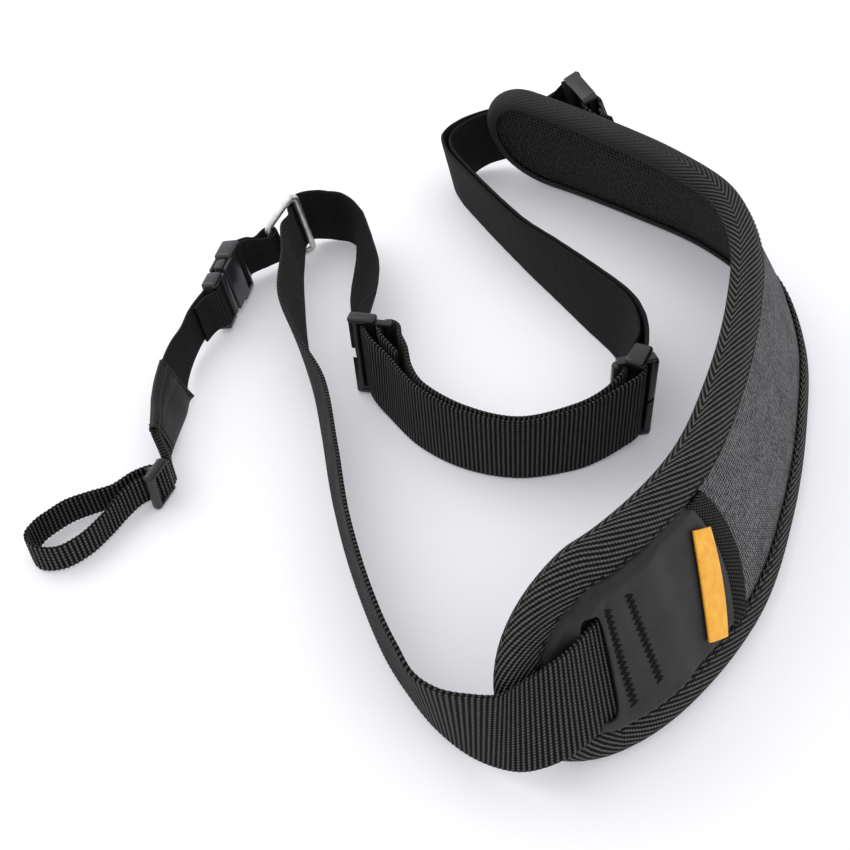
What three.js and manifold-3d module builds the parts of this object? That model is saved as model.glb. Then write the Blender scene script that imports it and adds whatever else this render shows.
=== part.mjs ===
// Padded camera sling strap, laid on a floor with every strap standing on its lower edge.
// Millimetres, +Z up, x to the viewer's right and y away from the viewer.
import * as THREE from 'three';
import { mergeVertices } from 'three/addons/utils/BufferGeometryUtils.js';
import Module from 'manifold-3d';

const wasm = await Module();
wasm.setup();

// Driving dimensions
const GAP = 0.3;
const WEBBING = { width: 25, thick: 1.3, step: 5.5 };
const CONNECTOR = { width: 14, thick: 1.3, step: 4 };
const CORD = { width: 10, thick: 1.2, step: 3.2 };
const PAD = { width: 53, thick: 8, farTip: 25, nearTip: 26, droop: 4.5, step: 10 };
const BINDING = { wall: 0.9, leaf: 4.5 };
const PATCH = { length: 62, thick: 1, under: 3.5, bow: 5 };
const TRIM = { width: 6.5, thick: 1.1 };
const TAG = { width: 6.8, height: 25.2, thick: 0.8, fromTip: 52.6, middle: -1.3, skew: -0.25, turn: 0.45 };
const SLIT = { fromTip: 20, wide: 5.8, tall: 27.4, middle: -2.5 };
const SLIDER = { tall: 30, wide: 13.8, thick: 2.2, bar: 1.9, end: 2, cap: 5.2 };
const LOOP_SLIDER = { tall: 13.4, wide: 10.5, thick: 1.3, bar: 1.3, end: 1.3, cap: 3.4 };
const RING = { wire: 2.2, long: 29.6, short: 17.5, depth: 13.8, shoulder: 2.8, corner: 2.4 };
const BUCKLE = { wide: 20, thick: 6.6, female: 17, male: 27.4, bar: 2.2, slot: 15.2 };
const WRAP = { width: 16.2, wall: 0.7, slant: 0.12 };
const LOCK = { at: 39.5, middle: 7, stand: 12.8, turn: 27, tilt: 0.12, wide: 18, drop: 4 };

const COLOURS = {
  webbing: 0x313132,
  cloth: 0x626264,
  mesh: 0x37383b,
  binding: 0x343530,
  leather: 0x353535,
  trim: 0x2b2826,
  tag: 0xf9c049,
  plastic: 0x3d3e42,
  buckle: 0x303031,
  metal: 0xb9bbbe,
};

// Middle line of the pad from its far tip to its near tip.
// Columns: x, y, lean of the pad toward the inside of its curve in degrees.
const PAD_ROWS = [
  [36, 144, 24],
  [55, 128.5, 27],
  [79.5, 102, 29],
  [99.5, 76, 31],
  [109.5, 49.5, 30],
  [107.5, 19, 28],
  [97.2, -13, 27],
  [83.1, -44.6, 27],
  [66, -73.2, 27],
  [44.4, -94.2, 26],
  [30.6, -102.4, 23],
  [9.5, -107.8, 20],
];

// Solids from rings of points
function solid(points, faces) {
  let volume = 0;
  for (const [a, b, c] of faces) {
    volume += points[a].dot(points[b].clone().cross(points[c]));
  }
  const index = faces.flatMap(([a, b, c]) => (volume > 0 ? [a, b, c] : [a, c, b]));
  const geometry = new THREE.BufferGeometry().setFromPoints(points);
  geometry.setIndex(index);
  return geometry;
}

function loft(rings, closed = false) {
  const around = rings[0].length;
  const points = rings.flat();
  const faces = [];
  const quad = (a, b, c, d) => faces.push([a, b, c], [a, c, d]);
  const spans = closed ? rings.length : rings.length - 1;
  for (let i = 0; i < spans; i += 1) {
    const a = i * around;
    const b = ((i + 1) % rings.length) * around;
    for (let j = 0; j < around; j += 1) {
      const k = (j + 1) % around;
      quad(a + j, a + k, b + k, b + j);
    }
  }
  if (!closed) {
    const end = (rings.length - 1) * around;
    for (let j = 0; j < around / 2 - 1; j += 1) {
      const k = around - 1 - j;
      quad(j, k, k - 1, j + 1);
      quad(end + j, end + j + 1, end + k - 1, end + k);
    }
  }
  return solid(points, faces);
}

// Cutting and joining
function toManifold(geometry) {
  const bare = geometry.clone();
  bare.deleteAttribute('normal');
  bare.deleteAttribute('uv');
  const welded = mergeVertices(bare.index ? bare : mergeVertices(bare), 1e-4);
  const mesh = new wasm.Mesh({
    numProp: 3,
    vertProperties: new Float32Array(welded.attributes.position.array),
    triVerts: new Uint32Array(welded.index.array),
  });
  return new wasm.Manifold(mesh);
}

function fromManifold(body) {
  const mesh = body.getMesh();
  const geometry = new THREE.BufferGeometry();
  geometry.setAttribute('position', new THREE.BufferAttribute(new Float32Array(mesh.vertProperties), 3));
  geometry.setIndex(new THREE.BufferAttribute(new Uint32Array(mesh.triVerts), 1));
  return geometry;
}

function shapeBody(joined, cuts = []) {
  let body = toManifold(joined[0]);
  for (const more of joined.slice(1)) {
    body = body.add(toManifold(more));
  }
  for (const cut of cuts) {
    body = body.subtract(toManifold(cut));
  }
  return fromManifold(body);
}

function box([x0, x1], [y0, y1], [z0, z1]) {
  const geometry = new THREE.BoxGeometry(x1 - x0, y1 - y0, z1 - z0);
  geometry.translate((x0 + x1) / 2, (y0 + y1) / 2, (z0 + z1) / 2);
  return geometry;
}

function roundedPath(path, x0, y0, x1, y1, r) {
  path.moveTo(x0 + r, y0);
  path.lineTo(x1 - r, y0);
  path.absarc(x1 - r, y0 + r, r, -Math.PI / 2, 0);
  path.lineTo(x1, y1 - r);
  path.absarc(x1 - r, y1 - r, r, 0, Math.PI / 2);
  path.lineTo(x0 + r, y1);
  path.absarc(x0 + r, y1 - r, r, Math.PI / 2, Math.PI);
  path.lineTo(x0, y0 + r);
  path.absarc(x0 + r, y0 + r, r, Math.PI, Math.PI * 1.5);
  return path;
}

// A flat plate that stands upright: width along x, height along z, thickness along y.
function uprightPlate(shape, thick) {
  const geometry = new THREE.ExtrudeGeometry(shape, { depth: thick, bevelEnabled: false, curveSegments: 3 });
  geometry.translate(0, 0, -thick / 2);
  geometry.rotateX(Math.PI / 2);
  return geometry;
}

// Straps
// Columns of every strap table: x and y of the lower edge, its lift off the floor,
// then how far over the upper edge stands from it, in x and in y.
function route(rows, width, closed = false) {
  const foot = rows.map(([x, y, lift]) => new THREE.Vector3(x, y, lift));
  const over = rows.map(([, , , dx, dy]) => new THREE.Vector3(dx, dy, Math.sqrt(width * width - dx * dx - dy * dy)));
  return {
    rows,
    closed,
    width,
    foot: new THREE.CatmullRomCurve3(foot, closed),
    over: new THREE.CatmullRomCurve3(over, closed, 'catmullrom', 0.5),
  };
}

function stand({ foot, over }, t, thick) {
  const along = foot.getTangent(t);
  const across = over.getPoint(t).normalize();
  const face = across.clone().cross(along).normalize();
  const at = foot.getPoint(t);
  at.z = Math.max(at.z, 0) + Math.abs(face.z) * thick / 2;
  return { at, across, face };
}

// Places along a route from one row to another, closer together where rows are close.
function places(way, from, to, step) {
  const spans = way.closed ? way.rows.length : way.rows.length - 1;
  const list = [];
  for (let i = from; i < to; i += 1) {
    const a = way.foot.getPoint(i / spans);
    const b = way.foot.getPoint((i + 1) / spans);
    const parts = Math.max(2, Math.round(a.distanceTo(b) / step));
    for (let k = 0; k < parts; k += 1) {
      list.push((i + k / parts) / spans);
    }
  }
  if (!way.closed) {
    list.push(to / spans);
  }
  return list;
}

function strapRing(way, t, size, width = size.width) {
  const { at, across, face } = stand(way, t, size.thick);
  const half = size.thick / 2;
  const corner = (v, n) => at.clone().addScaledVector(across, v).addScaledVector(face, n);
  return [corner(0, -half), corner(width, -half), corner(width, half), corner(0, half)];
}

// The step along a route that leaves half a gap at a cut.
function nudge(way, t, side) {
  const tiny = 1e-4;
  const run = way.foot.getPoint(t).distanceTo(way.foot.getPoint(t + side * tiny));
  return GAP * 0.6 * tiny / run;
}

function strap(way, size, from = 0, to = way.rows.length - 1) {
  const list = places(way, from, to, size.step);
  if (!way.closed) {
    const last = list.length - 1;
    list[0] += nudge(way, list[0], 1);
    list[last] -= nudge(way, list[last], -1);
  }
  return loft(list.map((t) => strapRing(way, t, size)), way.closed);
}

// The pad: s along its middle line, v across it, n out of its outer face.
const rimHalf = (PAD.width - PAD.thick) / 2;
const radians = THREE.MathUtils.degToRad;
const padLine = new THREE.CatmullRomCurve3(
  PAD_ROWS.map(([x, y, lean]) => new THREE.Vector3(x, y, PAD.thick / 2 + rimHalf * Math.cos(radians(lean)))),
);
const padLean = new THREE.CatmullRomCurve3(
  PAD_ROWS.map(([, , lean]) => new THREE.Vector3(lean, 0, 0)), false, 'catmullrom', 0.5,
);
const padLength = padLine.getLength();

function padFrame(s) {
  const t = padLine.getUtoTmapping(THREE.MathUtils.clamp(s / padLength, 0, 1));
  const along = padLine.getTangent(t);
  const lean = radians(padLean.getPoint(t).x);
  const inward = new THREE.Vector3(along.y, -along.x, 0).normalize();
  const across = inward.multiplyScalar(Math.sin(lean)).add(new THREE.Vector3(0, 0, Math.cos(lean)));
  const face = across.clone().cross(along).normalize();
  return { at: padLine.getPoint(t), along, across, face };
}

function padPoint(s, v, n) {
  const { at, across, face } = padFrame(s);
  const droop = PAD.droop * Math.max(0, 1 - (padLength - s) / PAD.nearTip) ** 2;
  return at.addScaledVector(across, v - droop).addScaledVector(face, n);
}

// Half the pad's width at s, for an outline set in from the rim. Its tips are rounded.
function padHalf(s, inset) {
  const near = s > padLength / 2;
  const tip = near ? PAD.nearTip : PAD.farTip;
  const fromTip = near ? padLength - s : s;
  const half = PAD.width / 2 - inset;
  const q = (tip - fromTip) / (tip - inset);
  return q <= 0 ? half : half * Math.sqrt(Math.max(0, 1 - q * q));
}

function padStations(from, to, inset) {
  const round = [10, 22, 38, 56, 74].map((angle) => 1 - Math.cos(radians(angle)));
  const middle = padLength - PAD.farTip - PAD.nearTip;
  const count = Math.round(middle / PAD.step);
  const list = round.map((q) => inset + (PAD.farTip - inset) * q);
  for (let i = 0; i <= count; i += 1) {
    list.push(PAD.farTip + middle * i / count);
  }
  list.push(...round.map((q) => padLength - inset - (PAD.nearTip - inset) * q).toReversed());
  const inside = list.filter((s) => s > from + 1 && s < to - 1);
  return [...(from > 0 ? [from] : []), ...inside, ...(to < padLength ? [to] : [])];
}

function padSlab({
  from = 0, to = padLength, inset, half, middle = 0, back, front, bow = () => 0, skew = 0, turn = 0,
}) {
  const reach = half ?? ((s) => padHalf(s, inset));
  const rings = padStations(from, to, inset ?? 0).map((s) => {
    const wide = reach(s);
    const brim = Math.max(wide - 2.6, wide * 0.4);
    const across = [-wide, -brim, -brim / 2, 0, brim / 2, brim, wide];
    const drop = turn * (s - (from + to) / 2);
    const place = (v, n) => padPoint(s + skew * v + bow(s) * (v / wide) ** 2, v + middle + drop, n);
    const low = across.map((v) => place(v, back(s, v)));
    const high = across.map((v) => place(v, front(s, v)));
    return [...low, ...high.toReversed()];
  });
  return loft(rings);
}

// How far a place lies in from the rim, and how full the pad is there.
function fromRim(s, v) {
  let inset = 0;
  while (inset < 16 && padHalf(s, inset + 0.25) > Math.abs(v)) {
    inset += 0.25;
  }
  return inset;
}
const fullness = (s, v) => THREE.MathUtils.clamp((fromRim(s, v) - 1.5) / 3.4, 0, 1);
const crown = (s, v) => 0.35 * THREE.MathUtils.smoothstep(fromRim(s, v), 9, 16);
const padCore = padSlab({
  inset: 1.5,
  back: (s, v) => -0.4 - 0.7 * fullness(s, v),
  front: (s, v) => 0.4 + 2.4 * fullness(s, v) + crown(s, v),
});
const padMesh = padSlab({ inset: 5.2, back: (s, v) => -2.75 - crown(s, v), front: () => -1.45 });

// Binding: a folded tape round the whole outline of the pad.
function bindingRings() {
  const inset = PAD.thick / 2;
  const upper = padStations(0, padLength, inset).map((s) => [s, padHalf(s, inset)]);
  const lower = upper.toReversed().map(([s, v]) => [s, -v]);
  const outline = [...upper, [padLength - inset, 0], ...lower, [inset, 0]];
  const out = PAD.thick / 2;
  const inn = out - BINDING.wall;
  const profile = [
    [-BINDING.leaf, out], [0, out], [out * 0.72, out * 0.7], [out, 0], [out * 0.72, -out * 0.7], [0, -out],
    [-BINDING.leaf, -out], [-BINDING.leaf, -inn], [0, -inn], [inn * 0.72, -inn * 0.7], [inn, 0],
    [inn * 0.72, inn * 0.7], [0, inn], [-BINDING.leaf, inn],
  ];
  return outline.map(([s, v], i) => {
    const [sa, va] = outline[(i + outline.length - 1) % outline.length];
    const [sb, vb] = outline[(i + 1) % outline.length];
    const length = Math.hypot(sb - sa, vb - va);
    const es = -(vb - va) / length;
    const ev = (sb - sa) / length;
    return profile.map(([e, n]) => padPoint(s + es * e, v + ev * e, n));
  });
}
const padBinding = loft(bindingRings(), true);

// End patches, trim tapes and the tag, all on the outer face.
const patchInset = PAD.thick / 2 + BINDING.leaf + GAP;
const ramp = (x, a, b) => THREE.MathUtils.smoothstep(x, a, b);
const slitAt = padLength - SLIT.fromTip;
const lifted = (s) => PATCH.under + 1.8 * ramp(s, slitAt - 28, slitAt - 17) * (1 - ramp(s, slitAt - 1.5, slitAt + 3));
const patchEnd = padLength - PATCH.length;
const endPatchNearSheet = padSlab({
  from: patchEnd,
  inset: patchInset,
  back: (s) => lifted(s),
  front: (s) => lifted(s) + PATCH.thick,
  bow: (s) => PATCH.bow * (1 - ramp(s, patchEnd, patchEnd + 26)),
});
const slitCut = padSlab({
  from: slitAt - SLIT.wide / 2,
  to: slitAt + SLIT.wide / 2,
  half: () => SLIT.tall / 2,
  middle: SLIT.middle,
  back: () => 1,
  front: () => 9,
});
const endPatchFar = padSlab({
  to: PATCH.length,
  inset: patchInset,
  back: () => PATCH.under,
  front: () => PATCH.under + PATCH.thick,
  bow: (s) => -PATCH.bow * ramp(s, PATCH.length - 26, PATCH.length),
});
const trimTape = (from, bow) => padSlab({
  from,
  to: from + TRIM.width,
  inset: patchInset,
  back: () => PATCH.under,
  front: () => PATCH.under + TRIM.thick,
  bow: () => bow,
});
const tagFrom = padLength - TAG.fromTip - TAG.width;
const labelTag = padSlab({
  from: tagFrom,
  to: tagFrom + TAG.width,
  half: () => TAG.height / 2,
  middle: TAG.middle,
  skew: TAG.skew,
  turn: TAG.turn,
  back: () => PATCH.under + PATCH.thick + 1.5 * GAP,
  front: () => PATCH.under + PATCH.thick + 1.5 * GAP + TAG.thick,
  bow: () => 1.2,
});

// Frames of the pieces that straps pass: origin, x axis and the way the piece stands.
function frameOf(at, right, up) {
  const x = new THREE.Vector3(...right).normalize();
  const z = new THREE.Vector3(...up);
  z.addScaledVector(x, -z.dot(x)).normalize();
  return { at: new THREE.Vector3(...at), x, y: z.clone().cross(x), z };
}
const heading = (degrees) => [Math.cos(radians(degrees)), Math.sin(radians(degrees)), 0];
const ringFrame = frameOf([-36.8, 103, 1.8], [-0.818, -0.509, -0.265], [-0.1, -0.333, 0.937]);
const buckleFrame = frameOf([-60.9, 82.8, 0.5], heading(-101.5), [-0.13, 0.03, 0.99]);
const padLock = padFrame(LOCK.at);
const lockTurn = radians(LOCK.turn);
const lockAlong = padLock.along.clone().multiplyScalar(Math.cos(lockTurn))
  .addScaledVector(padLock.face, -Math.sin(lockTurn));
const lockUp = padLock.across.clone().addScaledVector(lockAlong, -LOCK.tilt).normalize();
const lockFrame = frameOf(
  padPoint(LOCK.at, LOCK.middle, LOCK.stand).addScaledVector(lockUp, -SLIDER.tall / 2).toArray(),
  lockAlong.clone().addScaledVector(padLock.across, LOCK.tilt).toArray(),
  lockUp.toArray(),
);

// Strap rows given from the pad or from a piece: the strap's middle is at the given place.
function onPad(s, v, n, width = WEBBING.width) {
  const { across } = padFrame(s);
  const foot = padPoint(s, v - width / 2, n);
  return [foot.x, foot.y, foot.z, across.x * width, across.y * width];
}
function onPiece({ at, x, y, z }, tall, dx, dy, width) {
  const foot = at.clone().addScaledVector(x, dx).addScaledVector(y, dy).addScaledVector(z, (tall - width) / 2);
  return [foot.x, foot.y, foot.z, z.x * width, z.y * width];
}
const onRing = (dx, dy, width) => onPiece(ringFrame, RING.long, dx, dy, width);
const onBuckle = (dx, dy) => onPiece(buckleFrame, BUCKLE.wide, dx, dy, CONNECTOR.width);
const onLock = (dx, dy, drop = 0) => onPiece(lockFrame, SLIDER.tall - 2 * drop, dx, dy, WEBBING.width);
const lockSlot = (LOCK.wide - SLIDER.bar) / 4;

// Main webbing, one length from the near slit to the fold at the adjuster.
const NEAR_ROWS = [
  onPad(slitAt - 11, SLIT.middle + 1, 4.2),
  onPad(slitAt - 3.2, SLIT.middle, 4.2),
  onPad(slitAt + 4, SLIT.middle - 1.5, 6.3),
  [22, -118.6, 10, -1, 9],
  [15, -118, 6.2, 0.3, 7],
  [9.2, -114.6, 3, 1.2, 2.5],
  [4, -110.3, 1, 0, 0],
  [-0.3, -105.8, 0.2, -2, -2],
  [-4.3, -100.7, 0, -3, -2.5],
  [-7.8, -95, 0, -2.5, -1.5],
  [-13.8, -83, 0, -1, -0.5],
  [-21.9, -57, 0, 1, 0],
  [-27.4, -30.5, 0, 3.2, 0.5],
  [-31, -3, 0, 2.8, 0.5],
  [-34, 20.5, 0, -3, -0.5],
  [-37.5, 43.5, 0, -6, -0.5],
  [-39.5, 67, 0, -4, 0],
  [-40.4, 84, 0.2, -4, -1],
  [-40.4, 94.5, 0.3, -1.6, -4.8],
  onRing(3.2, 0, WEBBING.width),
];
const ARCH_ROWS = [
  [-37.4, 107.4, 2.4, -2, -7],
  [-32, 110, 0.8, 0, -5.5],
  [-26.5, 109.5, 0, -1.5, -5.5],
  [-21.8, 107.5, 0, -3.5, -4.5],
  [-19.2, 104.5, 0, -5, -2.5],
  [-18.6, 101, 0, -4, 0],
  [-19, 97, 0, -1.5, 0.5],
  [-20.5, 88, 0, 5, -1],
  [-22.5, 69.5, 0, 10, 0],
  [-22, 56, 0, 11, 0.5],
  [-20.7, 38, 0.4, 8.5, 1],
  [-19.6, 30, 1.6, 4, 0.5],
  [-18.2, 24.5, 2.3, 1, 0],
  [-16.6, 18.3, 2.3, 0, 0],
];
const FRONT_ROWS = [
  [-14.8, 11.5, 1.8, 0.5, 0],
  [-10.5, 4.5, 0.4, 1, 0],
  [-1.5, -9.5, 0, 0, -1],
  [11, -20.2, 0, -0.5, -2],
  [26, -25.5, 0, -0.5, -3],
  [42, -24.2, 0, 0, -1],
  [49.5, -21.8, 0.6, -0.3, -0.3],
  [56.5, -18.6, 1.8, 0, 0],
  [61.4, -15.2, 2.3, 0, 0],
  [63.1, -10.6, 2.3, 0, 0],
];
const FAR_INNER_ROWS = [
  [64.8, -4, 2.2, 0, 0],
  [67, 6, 0.8, 0.5, 0.5],
  [67.4, 15, 0, 1, 0.5],
  [65.8, 25, 0, 1, 0.5],
  [59.2, 40.8, 0, 0, 0],
  [51.6, 59.2, 0, -2.5, -1],
  [44.2, 77.2, 0, -5, -2],
  [30.2, 114.2, 0, -5.5, -2],
  [24.6, 132.5, 0, -5.5, -1.5],
  [24.2, 140.5, 0.3, -4.5, -1],
  [28, 148, 1.2, -3.5, -2],
  [35.5, 153.2, 3.2, -3, -4.5],
  onPad(17, -6, 9.8),
  onLock(-lockSlot * 3.4, -3, LOCK.drop),
  onLock(-lockSlot * 2.4, -3.1),
  onLock(-lockSlot * 1.8, -2.7),
  onLock(-lockSlot * 1.26, -1.9),
  onLock(-lockSlot, 0),
];
const FAR_OUTER_ROWS = [
  onLock(-lockSlot * 1.26, 1.9),
  onLock(-lockSlot * 1.8, 2.7),
  onLock(-lockSlot * 2.4, 3.1),
  onLock(-lockSlot * 3.4, 2.6, LOCK.drop),
  onPad(17, -6, 12.8),
  [36.5, 155.9, 3.4, -3, -4.5],
  [26.8, 151, 1.2, -3.5, -2],
  [21.2, 142, 0.3, -4.5, -1],
  [22.3, 132, 0, -5.5, -1.5],
  [28.3, 113.5, 0, -5.5, -2],
  [42.3, 76.5, 0, -5, -2],
  [49.8, 58.5, 0, -2.5, -1],
  [57.4, 40, 0, 0, 0],
  [63.6, 25, 0, 1, 0.5],
  [65.1, 16, 0, 1, 0.5],
  [64.4, 6, 0.8, 0.5, 0],
  [61, -3, 2.2, 0, 0],
  [57.5, -11.2, 2.3, 0, 0],
];
const BACK_ROWS = [
  [55.4, -15, 2.3, 0, 0],
  [50, -19, 0.6, -0.3, -0.3],
  [42, -22.3, 0, 0, -1],
  [26.3, -23.7, 0, -0.5, -3],
  [12.1, -18.6, 0, -0.5, -2],
  [0.2, -8, 0, 0, -1],
  [-3.4, -1, 0.4, 0.5, 0],
  [-4.3, 6.5, 1.8, 0.5, 0],
  [-5.4, 12.6, 2.3, 0, 0],
  [-5.5, 16.2, 2.3, 0, 0],
  [-7.2, 18.3, 2.3, 0, 0],
  [-9.7, 18.4, 2.3, 0, 0],
  [-11, 16.6, 2.3, 0, 0],
  [-11.4, 13.4, 2.3, 0, 0],
  [-9.4, 8.5, 1.8, 0.5, 0],
  [-7.4, 4.6, 1, 1, 0],
];
const webbingRows = [
  ...NEAR_ROWS, ...ARCH_ROWS, ...FRONT_ROWS, ...FAR_INNER_ROWS, ...FAR_OUTER_ROWS, ...BACK_ROWS,
];
const webbing = route(webbingRows, WEBBING.width);

function webbingPieces() {
  const names = {
    webbing_near_run: NEAR_ROWS,
    webbing_arch: ARCH_ROWS,
    webbing_front: FRONT_ROWS,
    webbing_far_inner: FAR_INNER_ROWS,
    webbing_far_outer: FAR_OUTER_ROWS,
    webbing_back: BACK_ROWS,
  };
  const pieces = [];
  let first = -1;
  for (const [name, rows] of Object.entries(names)) {
    const last = first + rows.length;
    pieces.push([name, strap(webbing, WEBBING, Math.max(first, 0), last)]);
    first = last;
  }
  return pieces;
}

// The tab that holds the pad end slider, from the far seam round the slider's rear bar.
const tabEnd = PATCH.length - PATCH.bow - 0.6;
const padEndTab = strap(route([
  onPad(tabEnd, LOCK.middle, 5.6),
  onPad(tabEnd - 5, LOCK.middle, 5.8),
  onLock(lockSlot * 2.6, -2.6),
  onLock(lockSlot * 1.9, -2.6),
  onLock(lockSlot * 1.26, -1.9),
  onLock(lockSlot, 0),
  onLock(lockSlot * 1.26, 1.9),
  onLock(lockSlot * 1.9, 2.6),
  onLock(lockSlot * 2.6, 2.6),
  onPad(tabEnd - 5, LOCK.middle, 7.6),
  onPad(tabEnd, LOCK.middle, 7.2),
], WEBBING.width), WEBBING);

// Sliders
function sliderPlate({ tall, wide, thick, bar, end, cap }) {
  const outline = () => roundedPath(new THREE.Shape(), -wide / 2, 0, wide / 2, tall, Math.min(2, bar));
  const shape = outline();
  const slot = (wide - 3 * bar) / 2;
  for (const x of [-wide / 2 + bar, bar / 2]) {
    shape.holes.push(roundedPath(new THREE.Path(), x, end, x + slot, tall - end, 0.5));
  }
  const between = box([-wide, wide], [-cap, cap], [end, tall - end]);
  const caps = shapeBody([uprightPlate(outline(), cap)], [between]);
  return shapeBody([uprightPlate(shape, thick), caps]);
}
const splitBox = (x, z, tall) => box([x - 2, x + 2], [-3, 3], [z, z + tall]);
const adjusterPlate = shapeBody([sliderPlate(SLIDER)], [splitBox(-SLIDER.wide / 2, 14.5, 2.2)]);
const keeperSplit = splitBox(0, -1.1, 2.2);
keeperSplit.rotateY(radians(35));
keeperSplit.translate(SLIDER.wide / 2 - SLIDER.bar / 2, 0, 13);
const keeperPlate = shapeBody([sliderPlate(SLIDER)], [keeperSplit]);

// Ring: a rounded trapezoid of wire, long bar at x 0, short bar at x depth.
function ringWire() {
  const low = (RING.long - RING.short) / 2;
  const corners = [
    [0, 0], [0, RING.long], [RING.shoulder, RING.long],
    [RING.depth, RING.long - low], [RING.depth, low], [RING.shoulder, 0],
  ].map(([x, z]) => new THREE.Vector3(x, 0, z));
  const count = corners.length;
  const path = [];
  corners.forEach((corner, i) => {
    const back = corners[(i + count - 1) % count].clone().sub(corner).setLength(RING.corner * 0.8).add(corner);
    const on = corners[(i + 1) % count].clone().sub(corner).setLength(RING.corner * 0.8).add(corner);
    path.push(...new THREE.QuadraticBezierCurve3(back, corner, on).getPoints(3));
  });
  const radius = RING.wire / 2;
  const rings = path.map((p, i) => {
    const along = path[(i + 1) % path.length].clone().sub(path[(i + path.length - 1) % path.length]).normalize();
    const side = along.clone().cross(new THREE.Vector3(0, 1, 0));
    return [0, 1, 2, 3, 4, 5, 6, 7].map((k) => p.clone()
      .addScaledVector(side, radius * Math.cos(k * Math.PI / 4))
      .add(new THREE.Vector3(0, radius * Math.sin(k * Math.PI / 4), 0)));
  });
  return loft(rings, true);
}

// Buckle: x along the strap from the female's bar, z across from its lower side.
function buckleBody(x0, x1, inset, thick) {
  const shape = roundedPath(new THREE.Shape(), x0, inset, x1, BUCKLE.wide - inset, 2);
  return uprightPlate(shape, thick);
}
const mid = BUCKLE.wide / 2;
const slotZ = [mid - BUCKLE.slot / 2, mid + BUCKLE.slot / 2];
const buckleFemale = shapeBody([buckleBody(0, BUCKLE.female, 0, BUCKLE.thick)], [
  box([BUCKLE.bar, 6.2], [-5, 5], slotZ),
  box([-1, 6.2], [1.3, 5], slotZ),
  box([-1, 6.2], [-5, -1.3], slotZ),
  box([8, BUCKLE.female + 1], [-2, 2], [2, BUCKLE.wide - 2]),
  box([8.5, 13.6], [-2, 2], [-1, BUCKLE.wide + 1]),
]);
const prong = (z0, z1, tip0, tip1) => [
  box([9.2, 18.2], [-1.7, 1.7], [z0, z1]),
  box([9.2, 13.2], [-1.7, 1.7], [tip0, tip1]),
];
const buckleMale = shapeBody([
  buckleBody(BUCKLE.female + 0.4, BUCKLE.male, 0.5, 5.2),
  ...prong(2.6, 5.2, 0.3, 5),
  ...prong(BUCKLE.wide - 5.2, BUCKLE.wide - 2.6, BUCKLE.wide - 5, BUCKLE.wide - 0.3),
  box([10, 18.2], [-1.7, 1.7], [mid - 1.5, mid + 1.5]),
], [
  box([21.2, BUCKLE.male - BUCKLE.bar], [-5, 5], slotZ),
  box([21.2, BUCKLE.male + 1], [1.3, 5], slotZ),
  box([21.2, BUCKLE.male + 1], [-5, -1.3], slotZ),
]);

// Connector webbing: a band through ring and buckle.
const bandRing = (dx, dy) => onRing(RING.depth + dx, dy, CONNECTOR.width);
const connectorBand = strap(route([
  bandRing(-2.4, 0),
  bandRing(-1.5, 1.9),
  bandRing(0.6, 2.5),
  [-53, 90.1, 3.2, -2, -2.6],
  [-56, 88, 3.3, -2, -0.6],
  onBuckle(-2, 1.9),
  onBuckle(1.2, 2.5),
  onBuckle(3.4, 1.9),
  onBuckle(4.2, 0),
  onBuckle(3.4, -1.9),
  onBuckle(1.2, -2.5),
  onBuckle(-2, -1.9),
  [-57, 89.5, 3.3, -2, -0.6],
  [-54, 91.6, 3.2, -2, -2.6],
  bandRing(0.6, -2.5),
  bandRing(-1.5, -1.9),
], CONNECTOR.width, true), CONNECTOR);

// Wrap: a flat sleeve over the tail's end and the loop's ends, cut slanting at its top.
// Columns after those of a strap: the sleeve's width and thickness there.
const WRAP_ROWS = [
  [-75.6, 25.5, 0, -5, -0.2, 16.2, 4.2],
  [-75, 20.5, 0, -5.9, 0, 16.2, 4.2],
  [-75, 13.2, 0, -6.3, 0.6, 16, 4.2],
  [-76.2, 5.5, 0, -5.6, 0.8, 14.6, 4.6],
  [-77.2, 0.5, 0, -4.2, 0.7, 13.4, 4.8],
  [-77.9, -4.5, 0, -3.2, 0.4, 12.4, 4.8],
];
const wrapWay = route(WRAP_ROWS, WRAP.width);
const wrapSizes = new THREE.CatmullRomCurve3(
  WRAP_ROWS.map((row) => new THREE.Vector3(row[5], row[6], 0)), false, 'catmullrom', 0.5,
);
function wrapRing(t, inset) {
  const { x: width, y: thick } = wrapSizes.getPoint(t);
  const half = thick / 2 - inset;
  const corner = (v, n) => {
    const slanted = t + WRAP.slant * (1 - v / width) * (1 - t) ** 3;
    const { at, across, face } = stand(wrapWay, slanted, thick);
    return at.addScaledVector(across, v).addScaledVector(face, n);
  };
  const over = width - inset;
  return [corner(inset, -half), corner(over, -half), corner(over, half), corner(inset, half)];
}
const wrapPlaces = places(wrapWay, 0, WRAP_ROWS.length - 1, 3);
const connectorWrap = loft([
  ...wrapPlaces.map((t) => wrapRing(t, 0)),
  ...wrapPlaces.map((t) => wrapRing(t, WRAP.wall)).toReversed(),
], true);

function inWrap(t, n, width) {
  const size = wrapSizes.getPoint(t);
  const { at, across, face } = stand(wrapWay, t, size.y);
  const foot = at.addScaledVector(across, (size.x - width) / 2).addScaledVector(face, n);
  return [foot.x, foot.y, foot.z, across.x * width, across.y * width];
}

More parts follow.
